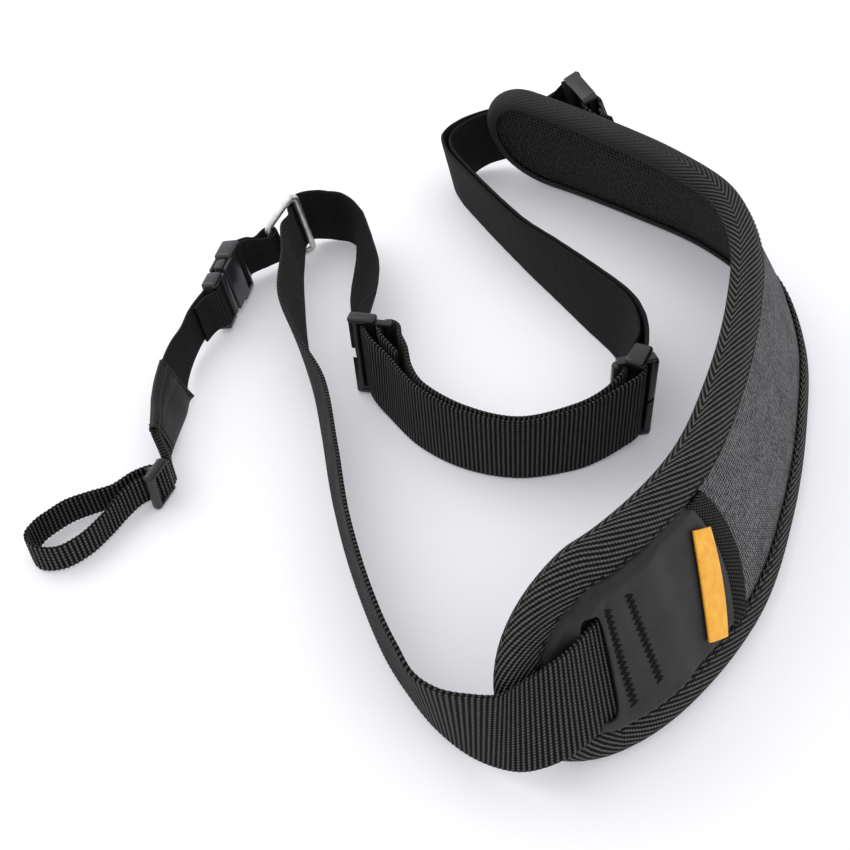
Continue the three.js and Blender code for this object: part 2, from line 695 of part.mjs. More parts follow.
// Connector tail: round the buckle's bar, folded back and down into the wrap.
const maleBar = BUCKLE.male - BUCKLE.bar / 2;
const connectorTail = strap(route([
  [-71.6, 48, 2.4, -1.4, 0.6],
  [-68.6, 53, 3, -1.7, 0.5],
  onBuckle(maleBar + 1.4, 2.5),
  onBuckle(maleBar - 2, 2),
  onBuckle(maleBar - 2.9, 0),
  onBuckle(maleBar - 2, -2),
  onBuckle(maleBar + 1.4, -2.5),
  [-70.6, 53.4, 3, -1.7, 0.5],
  [-73.4, 47.5, 2.2, -1.4, 0.6],
  [-75.3, 40, 1.5, -1.2, 0.2],
  [-76, 33, 1.4, -3, 0],
  inWrap(0, 0, CONNECTOR.width),
  inWrap(0.1, 0, CONNECTOR.width),
  inWrap(0.2, 0, CONNECTOR.width),
  inWrap(0.3, 0, CONNECTOR.width),
  inWrap(0.4, 0, CONNECTOR.width),
], CONNECTOR.width), CONNECTOR);

// Camera loop: out of the wrap, through its slider, round and back.
const cameraLoop = strap(route([
  inWrap(0.8, 0.78, CORD.width),
  inWrap(0.99, 0.78, CORD.width),
  [-75.6, -13.1, 1.6, 0, 0],
  [-73.75, -17.1, 1.6, 0, 0],
  [-74, -18.7, 1.6, 0, 0],
  [-75.3, -21.3, 1.6, 0, 0],
  [-76.9, -23.3, 1.6, 0, 0],
  [-78.8, -23.8, 1.6, 0, 0],
  [-80.3, -23.7, 1.6, 0, 0],
  [-82.8, -25.2, 1.6, 0, 0],
  [-86.2, -28.4, 0.6, 0, 0],
  [-90.2, -34.5, 0, 0.5, -0.5],
  [-95, -41.2, 0, 0.5, -0.8],
  [-101, -45.2, 0, 0.5, -0.8],
  [-107.5, -44.8, 0, 0.5, 0.4],
  [-110.4, -40, 0, 0.4, 0],
  [-109.2, -35, 0, 0.8, -0.5],
  [-106, -31.2, 0, 0.8, -0.8],
  [-102, -28, 0, 0.5, -0.8],
  [-96.5, -25.6, 0, 0.5, -1],
  [-90, -23.6, 0, 0.4, -1],
  [-83.6, -20.8, 1.5, 0.2, -0.5],
  [-78.7, -19.4, 1.6, 0, 0],
  [-77.2, -19.7, 1.6, 0, 0],
  [-75.5, -18.5, 1.6, 0, 0],
  [-75.2, -16.5, 1.6, 0, 0],
  [-77, -12.5, 1.6, 0, 0],
  inWrap(0.99, -0.78, CORD.width),
  inWrap(0.8, -0.78, CORD.width),
], CORD.width), CORD);

// Materials and assembly
function material(colour, roughness, metalness = 0) {
  return new THREE.MeshStandardMaterial({ color: colour, roughness, metalness });
}

const part = new THREE.Group();
part.name = 'camera_sling_strap';

function add(name, geometry, colour, roughness, metalness) {
  geometry.deleteAttribute('normal');
  geometry.computeVertexNormals();
  const mesh = new THREE.Mesh(geometry, material(colour, roughness, metalness));
  mesh.name = name;
  part.add(mesh);
  return mesh;
}

function pose(mesh, { at, x, y, z }) {
  mesh.quaternion.setFromRotationMatrix(new THREE.Matrix4().makeBasis(x, y, z));
  mesh.position.copy(at);
}
const upright = (x, y, degrees) => frameOf([x, y, 0], heading(degrees), [0, 0, 1]);

add('pad_core', padCore, COLOURS.cloth, 0.95);
add('pad_mesh', padMesh, COLOURS.mesh, 0.95);
add('pad_binding', padBinding, COLOURS.binding, 0.9);
add('end_patch_near', shapeBody([endPatchNearSheet], [slitCut]), COLOURS.leather, 0.6);
add('end_patch_far', endPatchFar, COLOURS.leather, 0.6);
add('trim_tape_near', trimTape(patchEnd - GAP - TRIM.width, PATCH.bow), COLOURS.trim, 0.85);
add('trim_tape_far', trimTape(PATCH.length + GAP, -PATCH.bow), COLOURS.trim, 0.85);
add('label_tag', labelTag, COLOURS.tag, 0.7);
for (const [name, geometry] of webbingPieces()) {
  add(name, geometry, COLOURS.webbing, 0.85);
}
add('pad_end_tab', padEndTab, COLOURS.webbing, 0.85);

pose(add('adjuster_slider', adjusterPlate, COLOURS.plastic, 0.45), upright(-13.8, 17.4, -17));
pose(add('keeper_slider', keeperPlate, COLOURS.plastic, 0.45), upright(60.3, -10.9, 6));
pose(add('pad_end_slider', sliderPlate({ ...SLIDER, wide: LOCK.wide }), COLOURS.plastic, 0.45), lockFrame);
pose(add('loop_slider', sliderPlate(LOOP_SLIDER), COLOURS.plastic, 0.45), upright(-78.6, -21.6, 68));
pose(add('strap_ring', ringWire(), COLOURS.metal, 0.25, 1), ringFrame);
add('connector_band', connectorBand, COLOURS.webbing, 0.85);
pose(add('buckle_female', buckleFemale, COLOURS.buckle, 0.25), buckleFrame);
pose(add('buckle_male', buckleMale, COLOURS.buckle, 0.25), buckleFrame);
add('connector_tail', connectorTail, COLOURS.webbing, 0.85);
add('connector_wrap', connectorWrap, COLOURS.leather, 0.6);
add('camera_loop', cameraLoop, COLOURS.webbing, 0.85);

// The part's origin is on the floor, under the middle of what is laid out.
const middle = new THREE.Box3().setFromObject(part, true).getCenter(new THREE.Vector3());
for (const mesh of part.children) {
  mesh.position.sub(new THREE.Vector3(middle.x, middle.y, 0));
}

export default part;
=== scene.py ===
import math
import bmesh
import bpy
import numpy as np
from mathutils import Matrix, Vector


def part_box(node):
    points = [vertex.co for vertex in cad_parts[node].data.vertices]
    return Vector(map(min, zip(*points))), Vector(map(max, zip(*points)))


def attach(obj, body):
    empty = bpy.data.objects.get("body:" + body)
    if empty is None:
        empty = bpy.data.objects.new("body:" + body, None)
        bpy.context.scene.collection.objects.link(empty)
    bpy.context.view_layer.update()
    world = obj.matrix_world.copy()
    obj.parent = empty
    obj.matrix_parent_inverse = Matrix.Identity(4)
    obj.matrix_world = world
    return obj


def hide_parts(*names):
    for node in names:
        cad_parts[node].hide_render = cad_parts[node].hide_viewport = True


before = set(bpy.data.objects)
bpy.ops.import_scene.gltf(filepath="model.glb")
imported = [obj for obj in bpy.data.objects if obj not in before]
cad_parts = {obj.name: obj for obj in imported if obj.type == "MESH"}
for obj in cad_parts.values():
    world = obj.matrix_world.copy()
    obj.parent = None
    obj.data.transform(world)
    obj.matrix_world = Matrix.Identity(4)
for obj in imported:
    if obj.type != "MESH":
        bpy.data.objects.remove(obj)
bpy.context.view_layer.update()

# Studio: a pale seamless floor under soft light from the upper left, seen from the near side.
# Layout millimetres have their zero on the floor below the middle of the picture,
# and the adjuster's place ties them to the part.
MM = 0.001
ADJUSTER_AT = (-13.8, 17.4)
low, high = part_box("adjuster_slider")
MIDDLE = np.array([*ADJUSTER_AT, 0]) - np.array([(low.x + high.x) / 2, (low.y + high.y) / 2, 0]) * 1000


def to_part(point):
    return (np.asarray(point, float) - MIDDLE) * MM


CAMERA_FOCUS = 978
CAMERA_RISE = math.radians(42.9)
CAMERA_ROLL = math.radians(-4.8)
CAMERA_REACH = 300
CAMERA_SENSOR = 36
PICTURE_WIDE = 850
rise = np.array([0, math.sin(CAMERA_RISE), math.cos(CAMERA_RISE)])
look = np.array([0, math.cos(CAMERA_RISE), -math.sin(CAMERA_RISE)])
side = np.array([1.0, 0, 0])
right = math.cos(CAMERA_ROLL) * side + math.sin(CAMERA_ROLL) * rise
up = -math.sin(CAMERA_ROLL) * side + math.cos(CAMERA_ROLL) * rise
seat = to_part(-CAMERA_REACH * look)
camera_data = bpy.data.cameras.new("camera")
camera_data.sensor_width = CAMERA_SENSOR
camera_data.lens = CAMERA_SENSOR * CAMERA_FOCUS / PICTURE_WIDE
camera_data.clip_start = 0.01
camera = bpy.data.objects.new("camera", camera_data)
camera.matrix_world = Matrix((
    (right[0], up[0], -look[0], seat[0]),
    (right[1], up[1], -look[1], seat[1]),
    (right[2], up[2], -look[2], seat[2]),
    (0, 0, 0, 1),
))
bpy.context.scene.collection.objects.link(camera)
bpy.context.scene.camera = camera
bpy.context.scene.view_settings.view_transform = "Standard"


def linear(hex_colour):
    """An sRGB hex colour as linear red, green, blue and alpha."""
    parts = [int(hex_colour[i:i + 2], 16) / 255 for i in (1, 3, 5)]
    return [c / 12.92 if c <= 0.04045 else ((c + 0.055) / 1.055) ** 2.4 for c in parts] + [1.0]


def add_node(material, kind, settings, inputs, stops=()):
    """Adds a node. An input is a value or a pair of node and output name, a stop a place and a colour."""
    made = material.node_tree.nodes.new(kind)
    for key, value in settings.items():
        setattr(made, key, value)
    for key, value in inputs.items():
        if isinstance(value, tuple) and isinstance(value[0], bpy.types.Node):
            material.node_tree.links.new(value[0].outputs[value[1]], made.inputs[key])
        else:
            made.inputs[key].default_value = value
    for k, (position, colour) in enumerate(stops):
        made.color_ramp.elements[k].position = position
        made.color_ramp.elements[k].color = linear(colour)
    return made


def new_material(name, inputs):
    """A named material and its shader, with the shader's plain inputs."""
    material = bpy.data.materials.new(name)
    material.use_nodes = True
    skin = material.node_tree.nodes["Principled BSDF"]
    for key, value in inputs.items():
        skin.inputs[key].default_value = value
    return material, skin


def wire(material, source, output, shader, socket):
    material.node_tree.links.new(source.outputs[output], shader.inputs[socket])


FLOOR_SIZE = 6
FLOOR_DROP = 0.0002
bpy.ops.object.select_all(action="DESELECT")
bpy.ops.mesh.primitive_plane_add(size=FLOOR_SIZE, location=(0, 0, -FLOOR_DROP))
floor = bpy.context.object
floor.name = "studio_floor"
# Matt white paper: even and without shine. It lies on a lit table, so a little light comes through.
floor_paper, shader = new_material("matt_white_paper", {
    "Base Color": linear("#ededee"), "Roughness": 0.9, "Specular IOR Level": 0.1,
    "Emission Color": linear("#f4f4ff"), "Emission Strength": 0.2})
floor.data.materials.append(floor_paper)

world = bpy.data.worlds.new("studio_air")
world.use_nodes = True
world.node_tree.nodes["Background"].inputs["Color"].default_value = linear("#fbfbfd")
world.node_tree.nodes["Background"].inputs["Strength"].default_value = 0.88
bpy.context.scene.world = world
for lamp_name, place, size, power in (
    ("key_softbox", (-0.55, 0.35, 0.85), 0.9, 3.4),
    ("fill_softbox", (0.4, -0.7, 0.9), 1.1, 1.8),
):
    lamp_data = bpy.data.lights.new(lamp_name, "AREA")
    lamp_data.size = size
    lamp_data.energy = power
    lamp = bpy.data.objects.new(lamp_name, lamp_data)
    lamp.location = place
    lamp.rotation_euler = (-Vector(place)).to_track_quat("-Z", "Y").to_euler()
    bpy.context.scene.collection.objects.link(lamp)


# Pad core: a curved foam shoulder pad faced with grey plain-weave cloth.
# It stands on its lower rim and leans toward the inside of its curve.
# Rows run along its middle line from the far tip: x, y, lean in degrees.
PAD_ROWS = [
    (36, 144, 24), (55, 128.5, 27), (79.5, 102, 29), (99.5, 76, 31), (109.5, 49.5, 30), (107.5, 19, 28),
    (97.2, -13, 27), (83.1, -44.6, 27), (66, -73.2, 27), (44.4, -94.2, 26), (30.6, -102.4, 23),
    (9.5, -107.8, 20),
]
PAD_WIDTH = 53
PAD_THICK = 8
PAD_FAR_TIP = 25
PAD_NEAR_TIP = 26
PAD_DROOP = 4.5
NUDGE = 1e-3


def spline(points, closed=False, even=False):
    """A smooth line through points. Its parameter counts the points."""
    p = np.array(points, float)
    n = len(p)

    def at(u):
        last = n if closed else n - 1
        u = u if closed else min(max(u, 0), last)
        i = int(math.floor(u))
        if not closed and i >= last:
            i = last - 1
        w = u - i
        p1 = p[i % n]
        p2 = p[(i + 1) % n]
        p0 = p[(i - 1) % n] if closed or i > 0 else 2 * p[0] - p[1]
        p3 = p[(i + 2) % n] if closed or i + 2 < n else 2 * p[n - 1] - p[n - 2]
        if even:
            m1 = 0.5 * (p2 - p0)
            m2 = 0.5 * (p3 - p1)
        else:
            d0, d1, d2 = (max(np.linalg.norm(b - a), 1e-8) ** 0.5 for a, b in ((p0, p1), (p1, p2), (p2, p3)))
            m1 = ((p1 - p0) / d0 - (p2 - p0) / (d0 + d1) + (p2 - p1) / d1) * d1
            m2 = ((p2 - p1) / d1 - (p3 - p1) / (d1 + d2) + (p3 - p2) / d2) * d1
        c2 = -3 * p1 + 3 * p2 - 2 * m1 - m2
        c3 = 2 * p1 - 2 * p2 + m1 + m2
        return p1 + m1 * w + c2 * w * w + c3 * w ** 3

    return at


def unit(vector):
    return vector / np.linalg.norm(vector)


pad_line = spline([
    (x, y, PAD_THICK / 2 + (PAD_WIDTH - PAD_THICK) / 2 * math.cos(math.radians(lean)))
    for x, y, lean in PAD_ROWS
])
pad_lean = spline([(lean, 0, 0) for x, y, lean in PAD_ROWS], even=True)
pad_steps = np.linspace(0, len(PAD_ROWS) - 1, 100 * (len(PAD_ROWS) - 1) + 1)
pad_track = np.array([pad_line(u) for u in pad_steps])
pad_run = np.concatenate([[0], np.cumsum(np.linalg.norm(np.diff(pad_track, axis=0), axis=1))])
PAD_LENGTH = pad_run[-1]


def pad_axes(u):
    """Place, direction along, direction across and outward direction at a parameter of the pad's line."""
    along = unit(pad_line(u + NUDGE) - pad_line(u - NUDGE))
    lean = math.radians(pad_lean(u)[0])
    inward = unit(np.array([along[1], -along[0], 0]))
    across = inward * math.sin(lean) + np.array([0, 0, math.cos(lean)])
    return pad_line(u), along, across, unit(np.cross(across, along))


pad_table = np.array([pad_axes(u) for u in pad_steps])


def pad_frame(s):
    """Place, direction along, direction across and outward direction of the pad at a run s."""
    i = min(max(int(np.searchsorted(pad_run, s)), 1), len(pad_run) - 1)
    w = min(max((s - pad_run[i - 1]) / (pad_run[i] - pad_run[i - 1]), 0), 1)
    return pad_table[i - 1] * (1 - w) + pad_table[i] * w


def pad_point(s, v, n):
    """A layout point at a run s, v up from the pad's middle line and n out from its middle plane."""
    place, along, across, face = pad_frame(s)
    droop = PAD_DROOP * max(0, 1 - (PAD_LENGTH - s) / PAD_NEAR_TIP) ** 2
    return place + across * (v - droop) + face * n


def pad_half(s, inset):
    """Half the pad's width at s for an outline set in from the rim, with rounded tips."""
    near = s > PAD_LENGTH / 2
    tip = PAD_NEAR_TIP if near else PAD_FAR_TIP
    from_tip = PAD_LENGTH - s if near else s
    half = PAD_WIDTH / 2 - inset
    q = (tip - from_tip) / (tip - inset)
    return half if q <= 0 else half * math.sqrt(max(0, 1 - q * q))


STATION_GAP = 0.4


def pad_stations(start, end, inset, step):
    """Runs from start to end for an outline set in from the rim, closer together at the round tips."""
    round_tip = [1 - math.cos(math.radians(a)) for a in range(6, 90, 6)]
    places = [inset + (PAD_FAR_TIP - inset) * q for q in round_tip]
    places += list(np.arange(PAD_FAR_TIP, PAD_LENGTH - PAD_NEAR_TIP, step))
    places += [PAD_LENGTH - inset - (PAD_NEAR_TIP - inset) * q for q in reversed(round_tip)]
    inside = [s for s in places if start + STATION_GAP < s < end - STATION_GAP]
    return ([start] if start > 0 else []) + inside + ([end] if end < PAD_LENGTH else [])


def smooth_step(x, a, b):
    t = min(max((x - a) / (b - a), 0), 1)
    return t * t * (3 - 2 * t)


def loft(name, rings, across, along, closed=False, pick=None):
    """A closed mesh through rings of points, with a map in millimetres across and along."""
    rings = np.array(rings, float)
    count, around, _ = rings.shape
    across = np.broadcast_to(np.asarray(across, float), (count, around + 1))
    spans = count if closed else count - 1
    faces = []
    corners = []
    picks = []
    for i in range(spans):
        k = (i + 1) % count
        for j in range(around):
            m = (j + 1) % around
            faces.append((i * around + j, i * around + m, k * around + m, k * around + j))
            corners += [(across[i][j], along[i]), (across[i][j + 1], along[i])]
            corners += [(across[k][j + 1], along[i + 1]), (across[k][j], along[i + 1])]
            picks.append(pick(i, j) if pick else 0)
    if not closed:
        for i in (0, count - 1):
            for j in range(around // 2 - 1):
                m = around - 1 - j
                faces.append((i * around + j, i * around + m, i * around + m - 1, i * around + j + 1))
                corners += [(across[i][q], along[i]) for q in (j, m, m - 1, j + 1)]
                picks.append(0)
    mesh = bpy.data.meshes.new(name)
    mesh.from_pydata((to_part(rings.reshape(-1, 3))).tolist(), [], faces)
    mesh.uv_layers.new(name="millimetres").data.foreach_set("uv", np.array(corners).ravel())
    mesh.polygons.foreach_set("use_smooth", [True] * len(faces))
    mesh.polygons.foreach_set("material_index", picks)
    tidy = bmesh.new()
    tidy.from_mesh(mesh)
    bmesh.ops.recalc_face_normals(tidy, faces=tidy.faces)
    tidy.to_mesh(mesh)
    tidy.free()
    made = bpy.data.objects.new(name, mesh)
    bpy.context.scene.collection.objects.link(made)
    return made


def pad_slab(name, stations, reach, back, front, middle=0, bow=None, skew=0, turn=0, cells=24, pick=None):
    """A slab on the pad between back and front heights, as wide as reach says."""
    q = np.sin(np.linspace(-1, 1, cells + 1) * math.pi / 2)
    rings = []
    across = []
    for s in stations:
        wide = reach(s)
        shift = bow(s) if bow else 0
        drop = middle + turn * (s - (stations[0] + stations[-1]) / 2)
        v = q * wide
        at = [s + skew * a + shift * b * b for a, b in zip(v, q)]
        low_side = [pad_point(r, a + drop, back(s, a)) for r, a in zip(at, v)]
        high_side = [pad_point(r, a + drop, front(s, a)) for r, a in zip(at, v)]
        rings.append(low_side + high_side[::-1])
        across.append(list(v) + list(v[::-1]) + [v[0]])
    return loft(name, rings, across, list(stations), pick=pick)


def dress(piece, material, slot, *nodes):
    """Gives a finished piece its material and its body, and hides the solids that it stands for."""
    for each in material if isinstance(material, list) else [material]:
        piece.data.materials.append(each)
    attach(piece, "root")
    if nodes:
        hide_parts(*nodes)
    return piece


RIM_SEARCH = 16
RIM_STEP = 0.5


def from_rim(s, v):
    """How far a place on the pad lies inside its rim, in half millimetres."""
    inset = 0
    while inset < RIM_SEARCH and pad_half(s, inset + RIM_STEP) > abs(v):
        inset += RIM_STEP
    return inset


# The cloth rolls up from its sewn rim, then crowns over the foam with slight waves.
# Each wave has a height, a length along the pad and a length across it.
CLOTH_INSET = 1.5
CLOTH_RIM = 0.4
CLOTH_ROLL = 2.3
CLOTH_CROWN = 0.45
CLOTH_BACK_ROLL = 0.7
ROLL_BAND = (1.2, 5.2)
CROWN_BAND = (8, 16)
CLOTH_WAVES = [(0.1, 9, 14), (0.08, 5.3, -6)]


def cloth_height(s, v):
    ripple = sum(high * math.sin(s / long + v / wide) for high, long, wide in CLOTH_WAVES)
    inside = from_rim(s, v)
    rolled = CLOTH_RIM + CLOTH_ROLL * smooth_step(inside, *ROLL_BAND)
    return rolled + (CLOTH_CROWN + ripple) * smooth_step(inside, *CROWN_BAND)


def cloth_back(s, v):
    return -CLOTH_RIM - CLOTH_BACK_ROLL * smooth_step(from_rim(s, v), *ROLL_BAND)


# Grey polyester plain weave: matt, with light and dark threads about 0.8 mm apart in short dashes.
# A wave pattern of scale 1 repeats every WAVE_REPEAT.
WAVE_REPEAT = 0.31416
THREAD = 0.85
grey_cloth, shader = new_material("grey_plain_weave_polyester", {
    "Roughness": 0.92, "Specular IOR Level": 0.15})
uv = add_node(grey_cloth, "ShaderNodeUVMap", {"uv_map": "millimetres"}, {})
warp, weft = (
    add_node(grey_cloth, "ShaderNodeTexWave", {"bands_direction": direction}, {
        "Vector": (uv, "UV"), "Scale": WAVE_REPEAT / THREAD, "Distortion": 0.9, "Detail": 1.0,
        "Detail Scale": 0.6})
    for direction in "XY")
crossing = add_node(grey_cloth, "ShaderNodeMath", {"operation": "MULTIPLY"}, {
    0: (warp, "Fac"), 1: (weft, "Fac")})
stretch = add_node(grey_cloth, "ShaderNodeMapping", {}, {"Vector": (uv, "UV"), "Scale": (0.5, 1.25, 1.0)})
dashes = add_node(grey_cloth, "ShaderNodeTexNoise", {}, {
    "Vector": (stretch, "Vector"), "Scale": 1.25, "Detail": 2.0, "Roughness": 0.7})
patches = add_node(grey_cloth, "ShaderNodeTexNoise", {}, {"Vector": (uv, "UV"), "Scale": 0.12, "Detail": 3.0})
worn = add_node(grey_cloth, "ShaderNodeMath", {"operation": "MULTIPLY_ADD"}, {
    0: (patches, "Fac"), 1: 0.25, 2: (dashes, "Fac")})
blend = add_node(grey_cloth, "ShaderNodeMath", {"operation": "MULTIPLY_ADD"}, {
    0: (crossing, "Value"), 1: 0.5, 2: (worn, "Value")})
cloth_tone = add_node(
    grey_cloth, "ShaderNodeValToRGB", {}, {"Fac": (blend, "Value")}, [(0.55, "#1c1c1d"), (1.0, "#838385")])
wire(grey_cloth, cloth_tone, "Color", shader, "Base Color")
cloth_bump = add_node(grey_cloth, "ShaderNodeBump", {}, {
    "Height": (blend, "Value"), "Strength": 0.6, "Distance": 0.0004})
wire(grey_cloth, cloth_bump, "Normal", shader, "Normal")

# Black tricot lining: the foam's bare ends under the end patches, fine and matt.
KNIT_ROW = 0.6
lining, shader = new_material("black_tricot_lining", {"Roughness": 0.95})
uv = add_node(lining, "ShaderNodeUVMap", {"uv_map": "millimetres"}, {})
knit = add_node(lining, "ShaderNodeTexWave", {"bands_direction": "Y"}, {
    "Vector": (uv, "UV"), "Scale": WAVE_REPEAT / KNIT_ROW, "Distortion": 1.5, "Detail": 1.0})
knit_tone = add_node(
    lining, "ShaderNodeValToRGB", {}, {"Fac": (knit, "Fac")}, [(0.0, "#0d0d0d"), (1.0, "#1c1c1c")])
wire(lining, knit_tone, "Color", shader, "Base Color")

PATCH_LENGTH = 62
PATCH_BOW = 5
PAD_STEP = 3
pad_places = pad_stations(0, PAD_LENGTH, CLOTH_INSET, PAD_STEP)


def under_patch(i, j):
    """Which of the pad's materials shows: cloth, or lining where an end patch covers it."""
    near_end = pad_places[i] > PAD_LENGTH - PATCH_LENGTH + PATCH_BOW
    return 1 if near_end or pad_places[i] < PATCH_LENGTH - PATCH_BOW else 0


pad = pad_slab(
    "pad_cloth", pad_places, lambda s: pad_half(s, CLOTH_INSET), cloth_back, cloth_height, cells=32,
    pick=under_patch)
dress(pad, [grey_cloth, lining], "cloth", "pad_core")


# Inner face of the pad: black spacer mesh, an open knit of small cells in rows.
# It lies inside the binding and is sewn down with it.
MESH_INSET = 5.2
MESH_FRONT = -1.45
MESH_BACK = -2.7
MESH_SWELL = 0.7
MESH_BAND = (8, 14)
CELL = 1.7
# Polyester spacer knit: dull, with dark open cells between paler yarns.
spacer_mesh, shader = new_material("black_polyester_spacer_mesh", {
    "Roughness": 0.85, "Specular IOR Level": 0.1})
uv = add_node(spacer_mesh, "ShaderNodeUVMap", {"uv_map": "millimetres"}, {})
cells = add_node(spacer_mesh, "ShaderNodeTexVoronoi", {"feature": "F1"}, {
    "Vector": (uv, "UV"), "Scale": 1 / CELL, "Randomness": 0.2})
cell_tone = add_node(
    spacer_mesh, "ShaderNodeValToRGB", {}, {"Fac": (cells, "Distance")},
    [(0.22, "#060606"), (0.6, "#3b3b3b")])
wire(spacer_mesh, cell_tone, "Color", shader, "Base Color")
cell_bump = add_node(spacer_mesh, "ShaderNodeBump", {}, {
    "Height": (cells, "Distance"), "Strength": 0.9, "Distance": 0.0006})
wire(spacer_mesh, cell_bump, "Normal", shader, "Normal")
inner = pad_slab(
    "pad_spacer_mesh", pad_stations(0, PAD_LENGTH, MESH_INSET, PAD_STEP), lambda s: pad_half(s, MESH_INSET),
    lambda s, v: MESH_BACK - MESH_SWELL * smooth_step(from_rim(s, v), *MESH_BAND), lambda s, v: MESH_FRONT)
dress(inner, spacer_mesh, "mesh", "pad_mesh")


# Binding: a stout twill tape folded over the pad's rim all the way round.
# Its ridges slant one way on the outer leaf and the other way on the inner leaf.
BINDING_WALL = 0.9
BINDING_LEAF = 4.5
BINDING_INNER_LEAF = 1.4


def binding_rings():
    """Rings of the tape's profile round the pad's rim, with its maps across and along.

    A profile point is a distance out from the rim's line and a height over the pad's middle plane.
    """
    inset = PAD_THICK / 2
    upper = [(s, pad_half(s, inset)) for s in pad_stations(0, PAD_LENGTH, inset, 2.5)]
    outline = upper + [(PAD_LENGTH - inset, 0)] + [(s, -v) for s, v in upper[::-1]] + [(inset, 0)]
    out = PAD_THICK / 2
    inn = out - BINDING_WALL
    turns = [math.radians(a) for a in range(90, -91, -15)]
    profile = [(-BINDING_LEAF, out - 0.25), (-BINDING_LEAF + 0.6, out + 0.05)]
    profile += [(-BINDING_LEAF / 2, out + 0.12)]
    rim_middle = len(profile) + len(turns) // 2
    profile += [(out * math.cos(a), out * math.sin(a)) for a in turns]
    profile += [(-BINDING_INNER_LEAF / 2, -out - 0.1), (-BINDING_INNER_LEAF + 0.4, -out - 0.05)]
    profile += [(-BINDING_INNER_LEAF, 0.25 - out), (-BINDING_INNER_LEAF, -inn)]
    profile += [(inn * math.cos(a), inn * math.sin(a)) for a in turns[::-1]]
    profile += [(-BINDING_LEAF, inn)]
    rings = []
    for i, (s, v) in enumerate(outline):
        sa, va = outline[i - 1]
        sb, vb = outline[(i + 1) % len(outline)]
        length = math.hypot(sb - sa, vb - va)
        es = -(vb - va) / length
        ev = (sb - sa) / length
        rings.append([pad_point(s + es * e, v + ev * e, n) for e, n in profile])
    walk = np.array(profile + profile[:1])
    across = np.concatenate([[0], np.cumsum(np.linalg.norm(np.diff(walk, axis=0), axis=1))])
    steps = np.array(rings)[:, rim_middle]
    along = np.linalg.norm(np.diff(np.vstack([steps, steps[:1]]), axis=0), axis=1)
    return rings, across - across[rim_middle], np.concatenate([[0], np.cumsum(along)])


# Black nylon twill: beaded ridges 1.1 mm apart, slanting away from the rim's middle line.
# Their relief is painted into the colour too: painted highlight on the ridges, painted shade in the grooves.
RIDGE = 1.1
RIDGE_SLOPE = 2.4
BEAD = 0.8
twill_tape, shader = new_material("black_nylon_twill_tape", {"Roughness": 0.75, "Specular IOR Level": 0.1})
uv = add_node(twill_tape, "ShaderNodeUVMap", {"uv_map": "millimetres"}, {})
parts = add_node(twill_tape, "ShaderNodeSeparateXYZ", {}, {"Vector": (uv, "UV")})
mirrored = add_node(twill_tape, "ShaderNodeMath", {"operation": "ABSOLUTE"}, {0: (parts, "X")})
slant = add_node(twill_tape, "ShaderNodeMath", {"operation": "MULTIPLY_ADD"}, {
    0: (mirrored, "Value"), 1: RIDGE_SLOPE, 2: (parts, "Y")})
turns = add_node(twill_tape, "ShaderNodeMath", {"operation": "MULTIPLY"}, {
    0: (slant, "Value"), 1: 2 * math.pi / (RIDGE * math.hypot(1, RIDGE_SLOPE))})
ridge = add_node(twill_tape, "ShaderNodeMath", {"operation": "SINE"}, {0: (turns, "Value")})
bead_turns = add_node(twill_tape, "ShaderNodeMath", {"operation": "MULTIPLY"}, {
    0: (parts, "Y"), 1: 2 * math.pi / BEAD})
bead = add_node(twill_tape, "ShaderNodeMath", {"operation": "SINE"}, {0: (bead_turns, "Value")})
relief = add_node(twill_tape, "ShaderNodeMath", {"operation": "MULTIPLY_ADD"}, {
    0: (bead, "Value"), 1: 0.4, 2: (ridge, "Value")})
fuzz = add_node(twill_tape, "ShaderNodeTexNoise", {}, {"Vector": (uv, "UV"), "Scale": 0.7, "Detail": 4.0})
uneven = add_node(twill_tape, "ShaderNodeMath", {"operation": "MULTIPLY_ADD"}, {
    0: (fuzz, "Fac"), 1: 1.2, 2: (relief, "Value")})
# Round the far end the ridges and their painted highlight and shade fade to an even dark grey; that end lies
# where the run's count is low or high.
# Distances from the near tip, millimetres: the tip's own count, where the fade starts, where it is full.
NEAR_TIP_RUN = PAD_LENGTH + 20
FADE_FROM = 185
FADE_FULL = 245
FADE_LEVEL = 0.6
from_near_tip = add_node(twill_tape, "ShaderNodeMath", {"operation": "SUBTRACT"}, {
    0: (parts, "Y"), 1: NEAR_TIP_RUN})
tip_run = add_node(twill_tape, "ShaderNodeMath", {"operation": "ABSOLUTE"}, {0: (from_near_tip, "Value")})
relief_share = add_node(twill_tape, "ShaderNodeMapRange", {}, {
    "Value": (tip_run, "Value"), "From Min": FADE_FROM, "From Max": FADE_FULL, "To Min": 1.0, "To Max": 0.1})
relief_left = add_node(twill_tape, "ShaderNodeMath", {"operation": "SUBTRACT"}, {
    0: (uneven, "Value"), 1: FADE_LEVEL})
faded_relief = add_node(twill_tape, "ShaderNodeMath", {"operation": "MULTIPLY_ADD"}, {
    0: (relief_left, "Value"), 1: (relief_share, "Result"), 2: FADE_LEVEL})
lift = add_node(twill_tape, "ShaderNodeMapRange", {}, {
    "Value": (faded_relief, "Value"), "From Min": -0.9, "From Max": 2.0})
# Painted highlight on the ridges and painted shade in the grooves, both fading round the far end.
twill_ridge_light_tone = add_node(
    twill_tape, "ShaderNodeValToRGB", {}, {"Fac": (lift, "Result")}, [(0.4, "#0b0b0b"), (1.0, "#6a6a67")])
wire(twill_tape, twill_ridge_light_tone, "Color", shader, "Base Color")
twill_bump = add_node(twill_tape, "ShaderNodeBump", {}, {
    "Height": (lift, "Result"), "Strength": 0.9, "Distance": 0.0006})
wire(twill_tape, twill_bump, "Normal", shader, "Normal")
rings, across, along = binding_rings()
binding = loft("pad_binding_tape", rings, across, along, closed=True)
dress(binding, twill_tape, "binding", "pad_binding")

